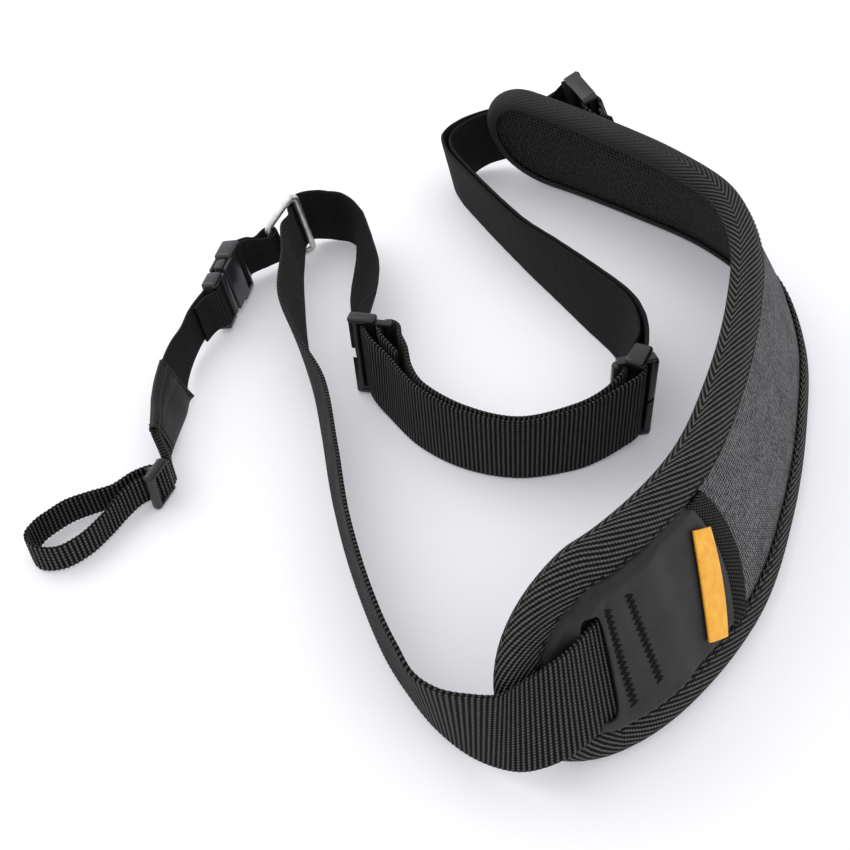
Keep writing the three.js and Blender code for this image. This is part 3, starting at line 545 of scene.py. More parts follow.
# Black bonded thread: hard twisted nylon with a slight shine.
TWIST = 0.0008
black_thread, shader = new_material("black_bonded_nylon_thread", {
    "Roughness": 0.65, "Specular IOR Level": 0.15})
where = add_node(black_thread, "ShaderNodeTexCoord", {}, {})
twist = add_node(black_thread, "ShaderNodeTexNoise", {}, {
    "Vector": (where, "Object"), "Scale": 1 / TWIST, "Detail": 2.0})
thread_tone = add_node(
    black_thread, "ShaderNodeValToRGB", {}, {"Fac": (twist, "Fac")}, [(0.35, "#040404"), (0.7, "#121212")])
wire(black_thread, thread_tone, "Color", shader, "Base Color")

bpy.ops.object.select_all(action="DESELECT")
bpy.ops.mesh.primitive_uv_sphere_add(segments=8, ring_count=5, radius=1)
stitch_model = bpy.context.object
stitch_model.name = "stitch_model"
stitch_points = np.array([vertex.co[:] for vertex in stitch_model.data.vertices])
stitch_faces = [list(face.vertices) for face in stitch_model.data.polygons]
bpy.data.objects.remove(stitch_model)


def stitches(name, marks, long, wide, rise):
    """Rows of thread stitches. A mark gives a stitch its place, its direction and its outward face."""
    points = []
    faces = []
    for place, way, out in marks:
        way = unit(way - out * way.dot(out))
        turned = np.array([way * long / 2, np.cross(out, way) * wide / 2, out * rise])
        faces += [[len(points) * len(stitch_points) + k for k in face] for face in stitch_faces]
        points.append(place + stitch_points @ turned)
    mesh = bpy.data.meshes.new(name)
    mesh.from_pydata(to_part(np.vstack(points)).tolist(), [], faces)
    mesh.polygons.foreach_set("use_smooth", [True] * len(faces))
    made = bpy.data.objects.new(name, mesh)
    bpy.context.scene.collection.objects.link(made)
    return dress(made, black_thread, "binding")


def pad_stitch(s, v, n, ds, dv):
    """A stitch mark on the pad that runs ds along and dv across."""
    _, along_pad, across_pad, face = pad_frame(s)
    return pad_point(s, v, n), along_pad * ds + across_pad * dv, face


# A seam just inside the edge of the outer leaf holds the tape down.
STITCH_PITCH = 2.6
STITCH_INSET = PAD_THICK / 2 + BINDING_LEAF - 0.9
seam = [(s, pad_half(s, STITCH_INSET)) for s in pad_stations(0, PAD_LENGTH, STITCH_INSET, 1)]
seam += [(s, -v) for s, v in seam[::-1]]
seam_run = np.concatenate([[0], np.cumsum(np.linalg.norm(np.diff(np.array(seam), axis=0), axis=1))])
seam_marks = []
for mark in np.arange(1, seam_run[-1], STITCH_PITCH):
    here = [np.interp(mark, seam_run, column) for column in zip(*seam)]
    ahead = [np.interp(mark + 0.5, seam_run, column) for column in zip(*seam)]
    seam_marks.append(pad_stitch(*here, PAD_THICK / 2 + 0.05, ahead[0] - here[0], ahead[1] - here[1]))
stitches("binding_stitches", seam_marks, long=1.8, wide=0.5, rise=0.18)


# End patches: dark synthetic leather over both ends of the pad's outer face.
# Their rims go under the binding's leaf. The near patch is slit for the webbing, with a
# turned lip round the slit, and two bartacks beside it hold the webbing's hidden end.
PATCH_THICK = 1
PATCH_UNDER = 3.5
SLIT_FROM_TIP = 20
SLIT_TALL = 26.6
SLIT_MIDDLE = 0
SLIT_LIPS = 5
SLIT_LIPS_AT = -0.8
GAP = 0.3
PATCH_INSET = PAD_THICK / 2 + BINDING_LEAF + GAP
SLIT_AT = PAD_LENGTH - SLIT_FROM_TIP
PATCH_END = PAD_LENGTH - PATCH_LENGTH
PATCH_TUCK = 7.2
PATCH_SUNK = 2.9
PATCH_LIFT = 1.8


def lifted(s):
    """Height under the near patch, which is lifted by the webbing that lies beneath it."""
    rise_up = smooth_step(s, SLIT_AT - 28, SLIT_AT - 17)
    return PATCH_UNDER + PATCH_LIFT * rise_up * (1 - smooth_step(s, SLIT_AT - 1.5, SLIT_AT + 3))


def slit_reach(s, v):
    """One on the slit's outline, more outside it."""
    along_slit = abs(s - SLIT_AT - SLIT_LIPS_AT) / (SLIT_LIPS / 2)
    across_slit = abs(v - SLIT_MIDDLE) / (SLIT_TALL / 2)
    return (along_slit ** 4 + across_slit ** 4) ** 0.25


# Each bartack leans: its distance from the slit and its height at its lower end, then at its upper end.
BARTACKS = [(6.4, -12, 4.7, 14.2), (12.8, -10.4, 10.9, 14.2)]
BARTACK_SINK = 0.22
BARTACK_REACH = 1.7
LIP_RISE = 0.45
LIP_AT = 1.1
PATCH_TUCK_END = 10.5


def bartack_sink(s, v):
    """One on the line of a bartack, less beside it."""
    deepest = 0
    for low_from, low, high_from, high in BARTACKS:
        part = min(1, max(0, (v - low) / (high - low)))
        off_s = s - SLIT_AT + low_from + (high_from - low_from) * part
        off = math.hypot(off_s, v - low - (high - low) * part)
        deepest = max(deepest, math.exp(-(off / BARTACK_REACH) ** 2))
    return deepest


def patch_front(s, v):
    tucked = smooth_step(from_rim(s, v), PATCH_TUCK, PATCH_TUCK_END)
    lip = math.exp(-((slit_reach(s, v) - LIP_AT) * SLIT_LIPS / 2) ** 2)
    level = PATCH_SUNK + (lifted(s) + PATCH_THICK - PATCH_SUNK) * tucked
    return level + LIP_RISE * lip - BARTACK_SINK * bartack_sink(s, v)


def patch_back(s, v):
    return patch_front(s, v) - PATCH_THICK


def apply_modifier(piece, kind, **settings):
    """Adds a modifier to a piece and applies it."""
    bpy.ops.object.select_all(action="DESELECT")
    bpy.context.view_layer.objects.active = piece
    piece.select_set(True)
    made = piece.modifiers.new(kind.lower(), kind)
    for key, value in settings.items():
        setattr(made, key, value)
    bpy.ops.object.modifier_apply(modifier=made.name)


# Polyurethane leather: a fine pebble under a satin skin.
PEBBLE = 0.0009
CLOUD = 0.009
leather, shader = new_material("charcoal_synthetic_leather", {"Roughness": 0.55, "Specular IOR Level": 0.3})
where = add_node(leather, "ShaderNodeTexCoord", {}, {})
pebble = add_node(leather, "ShaderNodeTexVoronoi", {"feature": "DISTANCE_TO_EDGE"}, {
    "Vector": (where, "Object"), "Scale": 1 / PEBBLE, "Randomness": 1.0})
cloud = add_node(leather, "ShaderNodeTexNoise", {}, {
    "Vector": (where, "Object"), "Scale": 1 / CLOUD, "Detail": 5.0, "Roughness": 0.65})
leather_tone = add_node(
    leather, "ShaderNodeValToRGB", {}, {"Fac": (cloud, "Fac")}, [(0.3, "#191919"), (0.72, "#2a2a2a")])
wire(leather, leather_tone, "Color", shader, "Base Color")
leather_bump = add_node(leather, "ShaderNodeBump", {}, {
    "Height": (pebble, "Distance"), "Strength": 0.25, "Distance": 0.0002})
wire(leather, leather_bump, "Normal", shader, "Normal")

# The near patch has closer stations round the slit, where its lip and bartacks need them.
PATCH_BOW_RUN = 26
near_places = pad_stations(PATCH_END, PAD_LENGTH, PATCH_TUCK, 1.5)
near_places = [s for s in near_places if s < SLIT_AT - 17 or s > SLIT_AT + 7]
near_places += list(np.linspace(SLIT_AT - 16.5, SLIT_AT + 6.6, 67))
near_patch = pad_slab(
    "near_end_patch", sorted(near_places), lambda s: pad_half(s, PATCH_TUCK), patch_back, patch_front,
    bow=lambda s: PATCH_BOW * (1 - smooth_step(s, PATCH_END, PATCH_END + PATCH_BOW_RUN)), cells=72)
slit_turns = [math.radians(a) for a in range(-90, 91, 10)]
slit = pad_slab(
    "slit_cutter",
    [SLIT_AT + SLIT_LIPS_AT + SLIT_LIPS / 2 * math.copysign(abs(math.sin(a)) ** 0.5, a) for a in slit_turns],
    lambda s: SLIT_TALL / 2 * max(0.02, 1 - (abs(s - SLIT_AT - SLIT_LIPS_AT) / (SLIT_LIPS / 2)) ** 4) ** 0.25,
    lambda s, v: 0, lambda s, v: 9, middle=SLIT_MIDDLE)
apply_modifier(near_patch, "BOOLEAN", object=slit, operation="DIFFERENCE", solver="EXACT")
bpy.data.objects.remove(slit)
dress(near_patch, leather, "leather", "end_patch_near")
far_patch = pad_slab(
    "far_end_patch", pad_stations(0, PATCH_LENGTH, PATCH_TUCK, PAD_STEP), lambda s: pad_half(s, PATCH_TUCK),
    patch_back, patch_front,
    bow=lambda s: -PATCH_BOW * smooth_step(s, PATCH_LENGTH - PATCH_BOW_RUN, PATCH_LENGTH))
dress(far_patch, leather, "leather", "end_patch_far")

BARTACK_STEP = 0.75
BARTACK_LEAN = 0.35
bartack_marks = []
for low_from, low, high_from, high in BARTACKS:
    for k in range(int((high - low) / BARTACK_STEP)):
        at_v = low + k * BARTACK_STEP
        at_s = SLIT_AT - low_from - (high_from - low_from) * (at_v - low) / (high - low)
        lean_way = BARTACK_LEAN if k % 2 else -BARTACK_LEAN
        bartack_marks.append(pad_stitch(at_s, at_v, patch_front(at_s, at_v) + 0.05, 1, lean_way))
stitches("patch_bartacks", bartack_marks, long=2.6, wide=0.6, rise=0.32)


# Trim tapes: narrow black woven tape over the seam between each patch and the cloth.
# They are convex, sewn down along both edges.
TRIM_WIDTH = 6.5
TRIM_THICK = 1.1
# Black cotton tape: slanting crossed threads about 0.8 mm apart, matt.
TAPE_LEAN = math.radians(38)
TAPE_WARP = 0.8
TAPE_WEFT = 0.75
black_tape, shader = new_material("black_cotton_twill_tape", {"Roughness": 0.85, "Specular IOR Level": 0.1})
uv = add_node(black_tape, "ShaderNodeUVMap", {"uv_map": "millimetres"}, {})
turned = add_node(black_tape, "ShaderNodeMapping", {}, {
    "Vector": (uv, "UV"), "Rotation": (0, 0, TAPE_LEAN)})
first, second = (
    add_node(black_tape, "ShaderNodeTexWave", {"bands_direction": direction}, {
        "Vector": (turned, "Vector"), "Scale": WAVE_REPEAT / spacing, "Distortion": 0.5})
    for direction, spacing in (("X", TAPE_WARP), ("Y", TAPE_WEFT)))
checks = add_node(black_tape, "ShaderNodeMath", {"operation": "MULTIPLY"}, {
    0: (first, "Fac"), 1: (second, "Fac")})
tape_tone = add_node(
    black_tape, "ShaderNodeValToRGB", {}, {"Fac": (checks, "Value")}, [(0.05, "#0c0c0c"), (0.85, "#4a4a48")])
wire(black_tape, tape_tone, "Color", shader, "Base Color")
tape_bump = add_node(black_tape, "ShaderNodeBump", {}, {
    "Height": (checks, "Value"), "Strength": 0.8, "Distance": 0.0004})
wire(black_tape, tape_bump, "Normal", shader, "Normal")


def trim_tape(name, start, bow):
    def front(s, v):
        q = (s - start) / TRIM_WIDTH * 2 - 1
        return PATCH_UNDER + TRIM_THICK * (0.55 + 0.6 * math.sqrt(max(0, 1 - q * q)))

    stations = [start + TRIM_WIDTH * q for q in (0, 0.04, 0.14, 0.3, 0.5, 0.7, 0.86, 0.96, 1)]
    return pad_slab(
        name, stations, lambda s: pad_half(s, PATCH_INSET), lambda s, v: PATCH_UNDER, front,
        bow=lambda s: bow)


near_trim = trim_tape("near_trim_tape", PATCH_END - GAP - TRIM_WIDTH, PATCH_BOW)
dress(near_trim, black_tape, "trim", "trim_tape_near")
far_trim = trim_tape("far_trim_tape", PATCH_LENGTH + GAP, -PATCH_BOW)
dress(far_trim, black_tape, "trim", "trim_tape_far")


# Tag: a short amber ribbon on the near seam, plain on its face.
# It lies over the patch's edge and leans a little, with its cloth side bowed.
TAG_WIDTH = 6.8
TAG_HEIGHT = 26.2
TAG_THICK = 0.8
TAG_FROM_TIP = 51.8
TAG_MIDDLE = -1.7
TAG_SKEW = -0.25
TAG_TURN = 0.45
TAG_UNDER = PATCH_UNDER + PATCH_THICK + 1.5 * GAP
TAG_BOW = 1.1
SATIN = 0.5
# Polyester satin: smooth warm amber, slightly faded in places.
amber_ribbon, shader = new_material("amber_satin_ribbon", {"Roughness": 0.6})
uv = add_node(amber_ribbon, "ShaderNodeUVMap", {"uv_map": "millimetres"}, {})
satin = add_node(amber_ribbon, "ShaderNodeTexWave", {"bands_direction": "X"}, {
    "Vector": (uv, "UV"), "Scale": WAVE_REPEAT / SATIN, "Distortion": 0.5, "Detail": 1.0})
fade = add_node(amber_ribbon, "ShaderNodeTexNoise", {}, {
    "Vector": (uv, "UV"), "Scale": 0.35, "Detail": 3.0})
amber_tone = add_node(
    amber_ribbon, "ShaderNodeValToRGB", {}, {"Fac": (fade, "Fac")}, [(0.3, "#f0a52a"), (0.7, "#fcbe43")])
wire(amber_ribbon, amber_tone, "Color", shader, "Base Color")
satin_bump = add_node(amber_ribbon, "ShaderNodeBump", {}, {
    "Height": (satin, "Fac"), "Strength": 0.25, "Distance": 0.0001})
wire(amber_ribbon, satin_bump, "Normal", shader, "Normal")
tag_start = PAD_LENGTH - TAG_FROM_TIP - TAG_WIDTH
tag_places = [tag_start + TAG_WIDTH * q for q in (0, 0.05, 0.2, 0.5, 0.8, 0.95, 1)]


def tag_front(s, v):
    q = (s - tag_start) / TAG_WIDTH * 2 - 1
    return TAG_UNDER + TAG_THICK * (0.7 + 0.35 * math.sqrt(max(0, 1 - q ** 4)))


tag = pad_slab(
    "label_tag_ribbon", tag_places, lambda s: TAG_HEIGHT / 2, lambda s, v: TAG_UNDER, tag_front,
    middle=TAG_MIDDLE, skew=TAG_SKEW, turn=TAG_TURN,
    bow=lambda s: TAG_BOW * (1 - (s - tag_start) / TAG_WIDTH))
dress(tag, amber_ribbon, "tag", "label_tag")


# Main webbing: one 25 mm nylon strap standing on its edge, from the near slit by the ring,
# the arch and both sliders to the pad's far end, and back in a second layer to the adjuster.
# Rows: x and y of the lower edge, its lift, then how far over the upper edge stands.
WEBBING_WIDTH = 25
WEBBING_THICK = 1.3


def frame_of(at, along, standing):
    """A piece's place and its three directions: along, face and standing."""
    x = unit(np.array(along, float))
    z = np.array(standing, float)
    z = unit(z - x * z.dot(x))
    return np.array(at, float), x, np.cross(z, x), z


def heading(degrees):
    return (math.cos(math.radians(degrees)), math.sin(math.radians(degrees)), 0)


RING_LONG = 29.6
RING_DEPTH = 13.8
SLIDER_TALL = 30
SLIDER_WIDE = 13.8
SLIDER_BAR = 1.9
ring_frame = frame_of((-36.8, 103, 1.8), (-0.818, -0.509, -0.265), (-0.1, -0.333, 0.937))
# The lock is the slider at the pad's far end. It stands off the pad, turned and tilted.
LOCK_AT = 39.5
LOCK_MIDDLE = 7
LOCK_STAND = 12.8
LOCK_TILT = 0.12
LOCK_WIDE = 18
LOCK_DROP = 4
LOCK_TURN = math.radians(27)
_, lock_along, lock_across, lock_face = pad_frame(LOCK_AT)
lock_way = lock_along * math.cos(LOCK_TURN) - lock_face * math.sin(LOCK_TURN)
lock_up = unit(lock_across - lock_way * LOCK_TILT)
lock_foot = pad_point(LOCK_AT, LOCK_MIDDLE, LOCK_STAND) - lock_up * SLIDER_TALL / 2
lock_frame = frame_of(lock_foot, lock_way + lock_across * LOCK_TILT, lock_up)
SLOT = (LOCK_WIDE - SLIDER_BAR) / 4


def on_pad(s, v, n):
    """A webbing row that lies on the pad."""
    across_pad = pad_frame(s)[2]
    foot = pad_point(s, v - WEBBING_WIDTH / 2, n)
    return (*foot, *(across_pad * WEBBING_WIDTH)[:2])


def on_piece(piece, tall, dx, dy, width):
    """A row for a strap of some width, in the middle of a piece's height and moved in its frame."""
    at, x, y, z = piece
    foot = at + x * dx + y * dy + z * (tall - width) / 2
    return (*foot, z[0] * width, z[1] * width)


def on_ring(dx, dy, width):
    return on_piece(ring_frame, RING_LONG, dx, dy, width)


def on_lock(slots, dy, drop=0):
    return on_piece(lock_frame, SLIDER_TALL - 2 * drop, slots * SLOT, dy, WEBBING_WIDTH)


WEBBING_ROWS = {
    "webbing_near_run": [
        on_pad(SLIT_AT - 11, SLIT_MIDDLE - 0.6, 4.3), on_pad(SLIT_AT - 3.2, SLIT_MIDDLE - 1.6, 4.5),
        on_pad(SLIT_AT + 4, SLIT_MIDDLE - 3.6, 6.3), (22, -118.6, 10, -1, 9), (15, -118, 6.2, 0.3, 7),
        (9.2, -114.6, 3, 1.2, 2.5), (4, -110.3, 1, 0, 0), (-0.3, -105.8, 0.2, -2, -2),
        (-4.3, -100.7, 0, -3, -2.5), (-7.8, -95, 0, -2.5, -1.5), (-13.8, -83, 0, -1, -0.5),
        (-21.9, -57, 0, 1, 0), (-27.4, -30.5, 0, 3.2, 0.5), (-31, -3, 0, 2.8, 0.5), (-34, 20.5, 0, -3, -0.5),
        (-37.5, 43.5, 0, -6, -0.5), (-39.5, 67, 0, -4, 0), (-40.4, 84, 0.2, -4, -1),
        (-40.4, 94.5, 0.3, -1.6, -4.8), on_ring(3.2, 0, WEBBING_WIDTH)],
    "webbing_arch": [
        (-37.4, 107.4, 2.4, -2, -7), (-32, 109.6, 0.8, -0.3, -5.8), (-26.8, 109, 0, -1.4, -5.4),
        (-22.6, 107, 0, -2.6, -4.4), (-19.9, 103.6, 0, -3.2, -2.8), (-18.9, 99.6, 0, -2.4, -1.2),
        (-19.2, 95, 0, 0, 0), (-20.5, 88, 0, 4.6, -0.6), (-22.5, 69.5, 0, 10, 0), (-22, 56, 0, 11, 0.5),
        (-20.7, 38, 0.4, 8.5, 1), (-19.6, 30, 1.6, 4, 0.5), (-18.2, 24.5, 2.3, 1, 0),
        (-16.6, 18.3, 2.3, 0, 0)],
    "webbing_front": [
        (-14.8, 11.5, 1.8, 0.5, 0), (-10.5, 4.5, 0.4, 1, 0), (-1.5, -9.5, 0, 0, -1),
        (11, -20.2, 0, -0.5, -2), (26, -25.5, 0, -0.5, -3), (42, -24.2, 0, 0, -1),
        (49.5, -21.8, 0.6, -0.3, -0.3), (56.5, -18.6, 1.8, 0, 0), (61.4, -15.2, 2.3, 0, 0),
        (63.1, -10.6, 2.3, 0, 0)],
    "webbing_far_inner": [
        (64.8, -4, 2.2, 0, 0), (67, 6, 0.8, 0.5, 0.5), (67.4, 15, 0, 1, 0.5), (65.8, 25, 0, 1, 0.5),
        (59.2, 40.8, 0, 0, 0), (51.6, 59.2, 0, -2.5, -1), (44.2, 77.2, 0, -5, -2), (30.2, 114.2, 0, -5.5, -2),
        (24.6, 132.5, 0, -5.5, -1.5), (24.2, 140.5, 0.3, -4.5, -1), (28, 148, 1.2, -3.5, -2),
        (35.5, 153.2, 3.2, -3, -4.5), on_pad(17, -6, 9.8), on_lock(-3.4, -3, LOCK_DROP), on_lock(-2.4, -3.1),
        on_lock(-1.8, -2.7), on_lock(-1.26, -1.9), on_lock(-1, 0)],
    "webbing_far_outer": [
        on_lock(-1.26, 1.9), on_lock(-1.8, 2.7), on_lock(-2.4, 3.1), on_lock(-3.4, 2.6, LOCK_DROP),
        on_pad(17, -6, 12.8), (36.5, 155.9, 3.4, -3, -4.5), (26.8, 151, 1.2, -3.5, -2),
        (21.2, 142, 0.3, -4.5, -1), (22.3, 132, 0, -5.5, -1.5), (28.3, 113.5, 0, -5.5, -2),
        (42.3, 76.5, 0, -5, -2), (49.8, 58.5, 0, -2.5, -1), (57.4, 40, 0, 0, 0), (63.6, 25, 0, 1, 0.5),
        (65.1, 16, 0, 1, 0.5),
        (64.4, 6, 0.8, 0.5, 0), (61, -3, 2.2, 0, 0), (57.5, -11.2, 2.3, 0, 0)],
    "webbing_back": [
        (55.4, -15, 2.3, 0, 0), (50, -19, 0.6, -0.3, -0.3), (42, -22.3, 0, 0, -1), (26.3, -23.7, 0, -0.5, -3),
        (12.1, -18.6, 0, -0.5, -2), (0.2, -8, 0, 0, -1), (-3.4, -1, 0.4, 0.5, 0), (-4.3, 6.5, 1.8, 0.5, 0),
        (-5.4, 12.6, 2.3, 0, 0), (-5.5, 16.2, 2.3, 0, 0), (-7.2, 18.3, 2.3, 0, 0), (-9.7, 18.4, 2.3, 0, 0),
        (-11, 16.6, 2.3, 0, 0), (-11.4, 13.4, 2.3, 0, 0), (-9.4, 8.5, 1.8, 0.5, 0), (-7.4, 4.6, 1, 1, 0)],
}


def route(rows, width, closed=False):
    """The line of a strap's lower edge through rows, and how its width stands over that edge."""
    over = [(r[3], r[4], math.sqrt(width * width - r[3] ** 2 - r[4] ** 2)) for r in rows]
    return spline([r[:3] for r in rows], closed), spline(over, closed, even=True)


def stand(way, u, thick):
    """Lower edge, direction across and outward direction of a strap, kept above the floor."""
    foot, over = way
    along_strap = unit(foot(u + NUDGE) - foot(u - NUDGE))
    across_strap = unit(over(u))
    face = unit(np.cross(across_strap, along_strap))
    at = foot(u)
    at[2] = max(at[2], 0) + abs(face[2]) * thick / 2
    return at, across_strap, face


FINE_STEPS = 60
RIB_MEAN = 0.55
SCALLOP = 0.6


def strap(name, way, first, last, width, thick, step, rib, pitch, closed=False):
    """A strap along a route: rounded scalloped edges, and cross ribs of a given height on each face."""
    foot = way[0]
    fine = np.linspace(first, last, int((last - first) * FINE_STEPS) + 1)
    track = np.array([foot(u) for u in fine])
    run = np.concatenate([[0], np.cumsum(np.linalg.norm(np.diff(track, axis=0), axis=1))])
    count = max(8, int(run[-1] / step))
    scale = 1
    if closed:
        ribs_round = max(8, int(round(run[-1] / pitch)))
        count = ribs_round * max(2, int(round(pitch / step)))
        scale = ribs_round * pitch / run[-1]
    marks = np.linspace(0, run[-1], count + 1)
    half = thick / 2
    edge = [0.05, 0.3, 0.9, 2.2]
    inner_marks = [width * q for q in (0.25, 0.5, 0.75)]
    over_marks = edge + inner_marks + [width - e for e in edge[::-1]]
    depth = [0.45, 0.8, 0.96, 1] + [1] * len(inner_marks) + [1, 0.96, 0.8, 0.45]
    scallop = [1, 0.8, 0.4, 0, 0, 0, 0, 0, -0.4, -0.8, -1]
    rings = []
    for mark in marks[:-1] if closed else marks:
        at, across_strap, face = stand(way, np.interp(mark, run, fine), thick)
        swell = math.sin(math.pi * mark * scale / pitch) ** 2
        ridge = rib * (swell - RIB_MEAN)
        cut = rib * SCALLOP * (1 - swell)
        over = [v + cut * q for v, q in zip(over_marks, scallop)]
        left = [at + across_strap * v - face * (half * d + ridge * d) for v, d in zip(over, depth)]
        far = [at + across_strap * v + face * (half * d + ridge * d) for v, d in zip(over, depth)]
        rings.append(left + far[::-1])
    across = over_marks + over_marks[::-1] + over_marks[:1]
    return loft(name, rings, across, marks * scale, closed=closed)


def webbing_material(name, dark, light, pitch, thread, contrast):
    """Black nylon webbing: cross ribs at a pitch, with beaded threads along the strap between them. Their
    relief is painted into the colour as well: painted highlight on the ridges and beads, painted shade in the
    valleys.
    """
    material, skin = new_material(name, {"Roughness": 0.78, "Specular IOR Level": 0.1})
    chart = add_node(material, "ShaderNodeUVMap", {"uv_map": "millimetres"}, {})
    split = add_node(material, "ShaderNodeSeparateXYZ", {}, {"Vector": (chart, "UV")})
    rib_turns = add_node(material, "ShaderNodeMath", {"operation": "MULTIPLY"}, {
        0: (split, "Y"), 1: math.pi / pitch})
    rib_wave = add_node(material, "ShaderNodeMath", {"operation": "SINE"}, {0: (rib_turns, "Value")})
    rib_lift = add_node(material, "ShaderNodeMath", {"operation": "MULTIPLY"}, {
        0: (rib_wave, "Value"), 1: (rib_wave, "Value")})
    warp_wave = add_node(material, "ShaderNodeTexWave", {"bands_direction": "X"}, {
        "Vector": (chart, "UV"), "Scale": WAVE_REPEAT / thread, "Distortion": 0.8, "Detail": 1.0})
    beads = add_node(material, "ShaderNodeMath", {"operation": "MULTIPLY_ADD"}, {
        0: (warp_wave, "Fac"), 1: 0.55, 2: 0.45})
    raised = add_node(material, "ShaderNodeMath", {"operation": "MULTIPLY"}, {
        0: (rib_lift, "Value"), 1: (beads, "Value")})
    knots = add_node(material, "ShaderNodeMath", {"operation": "POWER"}, {0: (raised, "Value"), 1: 1.4})
    dust = add_node(material, "ShaderNodeTexNoise", {}, {
        "Vector": (chart, "UV"), "Scale": 0.6, "Detail": 5.0, "Roughness": 0.7})
    dust_part = add_node(material, "ShaderNodeMath", {"operation": "MULTIPLY_ADD"}, {
        0: (dust, "Fac"), 1: 0.35, 2: 0.3 * (1 - contrast)})
    # Painted light: ridges and beads lighter as painted highlight, rib valleys darker as painted shade, over
    # a random dust tone.
    rib_light_and_dust = add_node(material, "ShaderNodeMath", {"operation": "MULTIPLY_ADD"}, {
        0: (knots, "Value"), 1: contrast, 2: (dust_part, "Value")})
    rib_light_and_dust_tone = add_node(
        material, "ShaderNodeValToRGB", {}, {"Fac": (rib_light_and_dust, "Value")}, [(0.3, dark), (1.0, light)])
    wire(material, rib_light_and_dust_tone, "Color", skin, "Base Color")
    bump = add_node(material, "ShaderNodeBump", {}, {
        "Height": (knots, "Value"), "Strength": 0.3 + 0.6 * contrast, "Distance": 0.0004})
    wire(material, bump, "Normal", skin, "Normal")
    return material


RIB_PITCH = 1.32
RIB_STEP = 0.26
PLAIN_PITCH = 0.9
PLAIN_STEP = 0.8
# Each pair of colours: the painted shade of the rib valleys, then the painted highlight of the ridges.
ribbed_webbing = webbing_material("black_ribbed_nylon_webbing", "#080808", "#626260", RIB_PITCH, 0.8, 1.0)
plain_webbing = webbing_material("black_smooth_nylon_webbing", "#121212", "#343434", PLAIN_PITCH, 0.7, 0.5)
webbing_way = route([row for rows in WEBBING_ROWS.values() for row in rows], WEBBING_WIDTH)
# Rib height on each face, millimetres. Lower ones are woven plain.
WEBBING_RIBS = {
    "webbing_near_run": 0.14, "webbing_arch": 0.05, "webbing_front": 0.12, "webbing_far_inner": 0.05,
    "webbing_far_outer": 0.05, "webbing_back": 0.12,
}
PLAIN_RIB = 0.1
first = 0
end = -1
for node_name, rows in WEBBING_ROWS.items():
    end += len(rows)
    ribs = WEBBING_RIBS[node_name]
    ribbed = ribs > PLAIN_RIB
    piece = strap(
        node_name + "_strap", webbing_way, first, end, WEBBING_WIDTH, WEBBING_THICK,
        RIB_STEP if ribbed else PLAIN_STEP, ribs, RIB_PITCH if ribbed else PLAIN_PITCH)
    dress(piece, ribbed_webbing if ribbed else plain_webbing, "webbing", node_name)
    first = end


# Pad end tab: a doubled bit of the same webbing that holds the pad end slider.
# It goes under the far trim tape and round the slider's rear bar.
TAB_END = PATCH_LENGTH - PATCH_BOW - 0.6
TAB_RIB = 0.12
TAB_STEP = 0.33
tab_rows = [
    on_pad(TAB_END, LOCK_MIDDLE, 5.6), on_pad(TAB_END - 5, LOCK_MIDDLE, 5.8), on_lock(2.6, -2.6),
    on_lock(1.9, -2.6), on_lock(1.26, -1.9), on_lock(1, 0), on_lock(1.26, 1.9), on_lock(1.9, 2.6),
    on_lock(2.6, 2.6), on_pad(TAB_END - 5, LOCK_MIDDLE, 7.6), on_pad(TAB_END, LOCK_MIDDLE, 7.2)]
tab = strap(
    "pad_end_tab_strap", route(tab_rows, WEBBING_WIDTH), 0, len(tab_rows) - 1, WEBBING_WIDTH, WEBBING_THICK,
    TAB_STEP, TAB_RIB, RIB_PITCH)
dress(tab, ribbed_webbing, "webbing", "pad_end_tab")


# Sliders: upright moulded frames with two slots each, three for the main webbing and a small one.
# They are satin acetal with soft edges. The adjuster's outer bar is notched, the keeper's is
# slit slantwise, and the small one is a deeper frame round the loop.
ACETAL_IOR = 1.48
SPARK = 0.0007
SCUFF = 0.006
# Acetal from a sparked mould: dark charcoal with a satin shine, a little scuffed.
satin_plastic, shader = new_material("charcoal_moulded_acetal", {"Roughness": 0.3, "IOR": ACETAL_IOR})
where = add_node(satin_plastic, "ShaderNodeTexCoord", {}, {})
spark = add_node(satin_plastic, "ShaderNodeTexNoise", {}, {
    "Vector": (where, "Object"), "Scale": 1 / SPARK, "Detail": 2.0})
scuff = add_node(satin_plastic, "ShaderNodeTexNoise", {}, {
    "Vector": (where, "Object"), "Scale": 1 / SCUFF, "Detail": 5.0, "Roughness": 0.7})
plastic_tone = add_node(
    satin_plastic, "ShaderNodeValToRGB", {}, {"Fac": (scuff, "Fac")}, [(0.3, "#161617"), (0.75, "#242426")])
wire(satin_plastic, plastic_tone, "Color", shader, "Base Color")
plastic_bump = add_node(satin_plastic, "ShaderNodeBump", {}, {
    "Height": (spark, "Fac"), "Strength": 0.12, "Distance": 0.0001})
wire(satin_plastic, plastic_bump, "Normal", shader, "Normal")


def softened(node_name, name, width):
    """A copy of a solid with its loose triangles joined and its edges rounded."""
    made = bpy.data.objects.new(name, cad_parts[node_name].data.copy())
    made.data.materials.clear()
    bpy.context.scene.collection.objects.link(made)
    bpy.ops.object.select_all(action="DESELECT")
    bpy.context.view_layer.objects.active = made
    made.select_set(True)
    bpy.ops.object.mode_set(mode="EDIT")
    bpy.ops.mesh.select_all(action="SELECT")
    bpy.ops.mesh.remove_doubles(threshold=0.00001)
    bpy.ops.mesh.dissolve_limited(angle_limit=math.radians(2))
    bpy.ops.object.mode_set(mode="OBJECT")
    apply_modifier(made, "BEVEL", width=width, segments=3, limit_method="ANGLE", angle_limit=math.radians(50))
    bpy.ops.object.shade_smooth_by_angle(angle=math.radians(40))
    return made


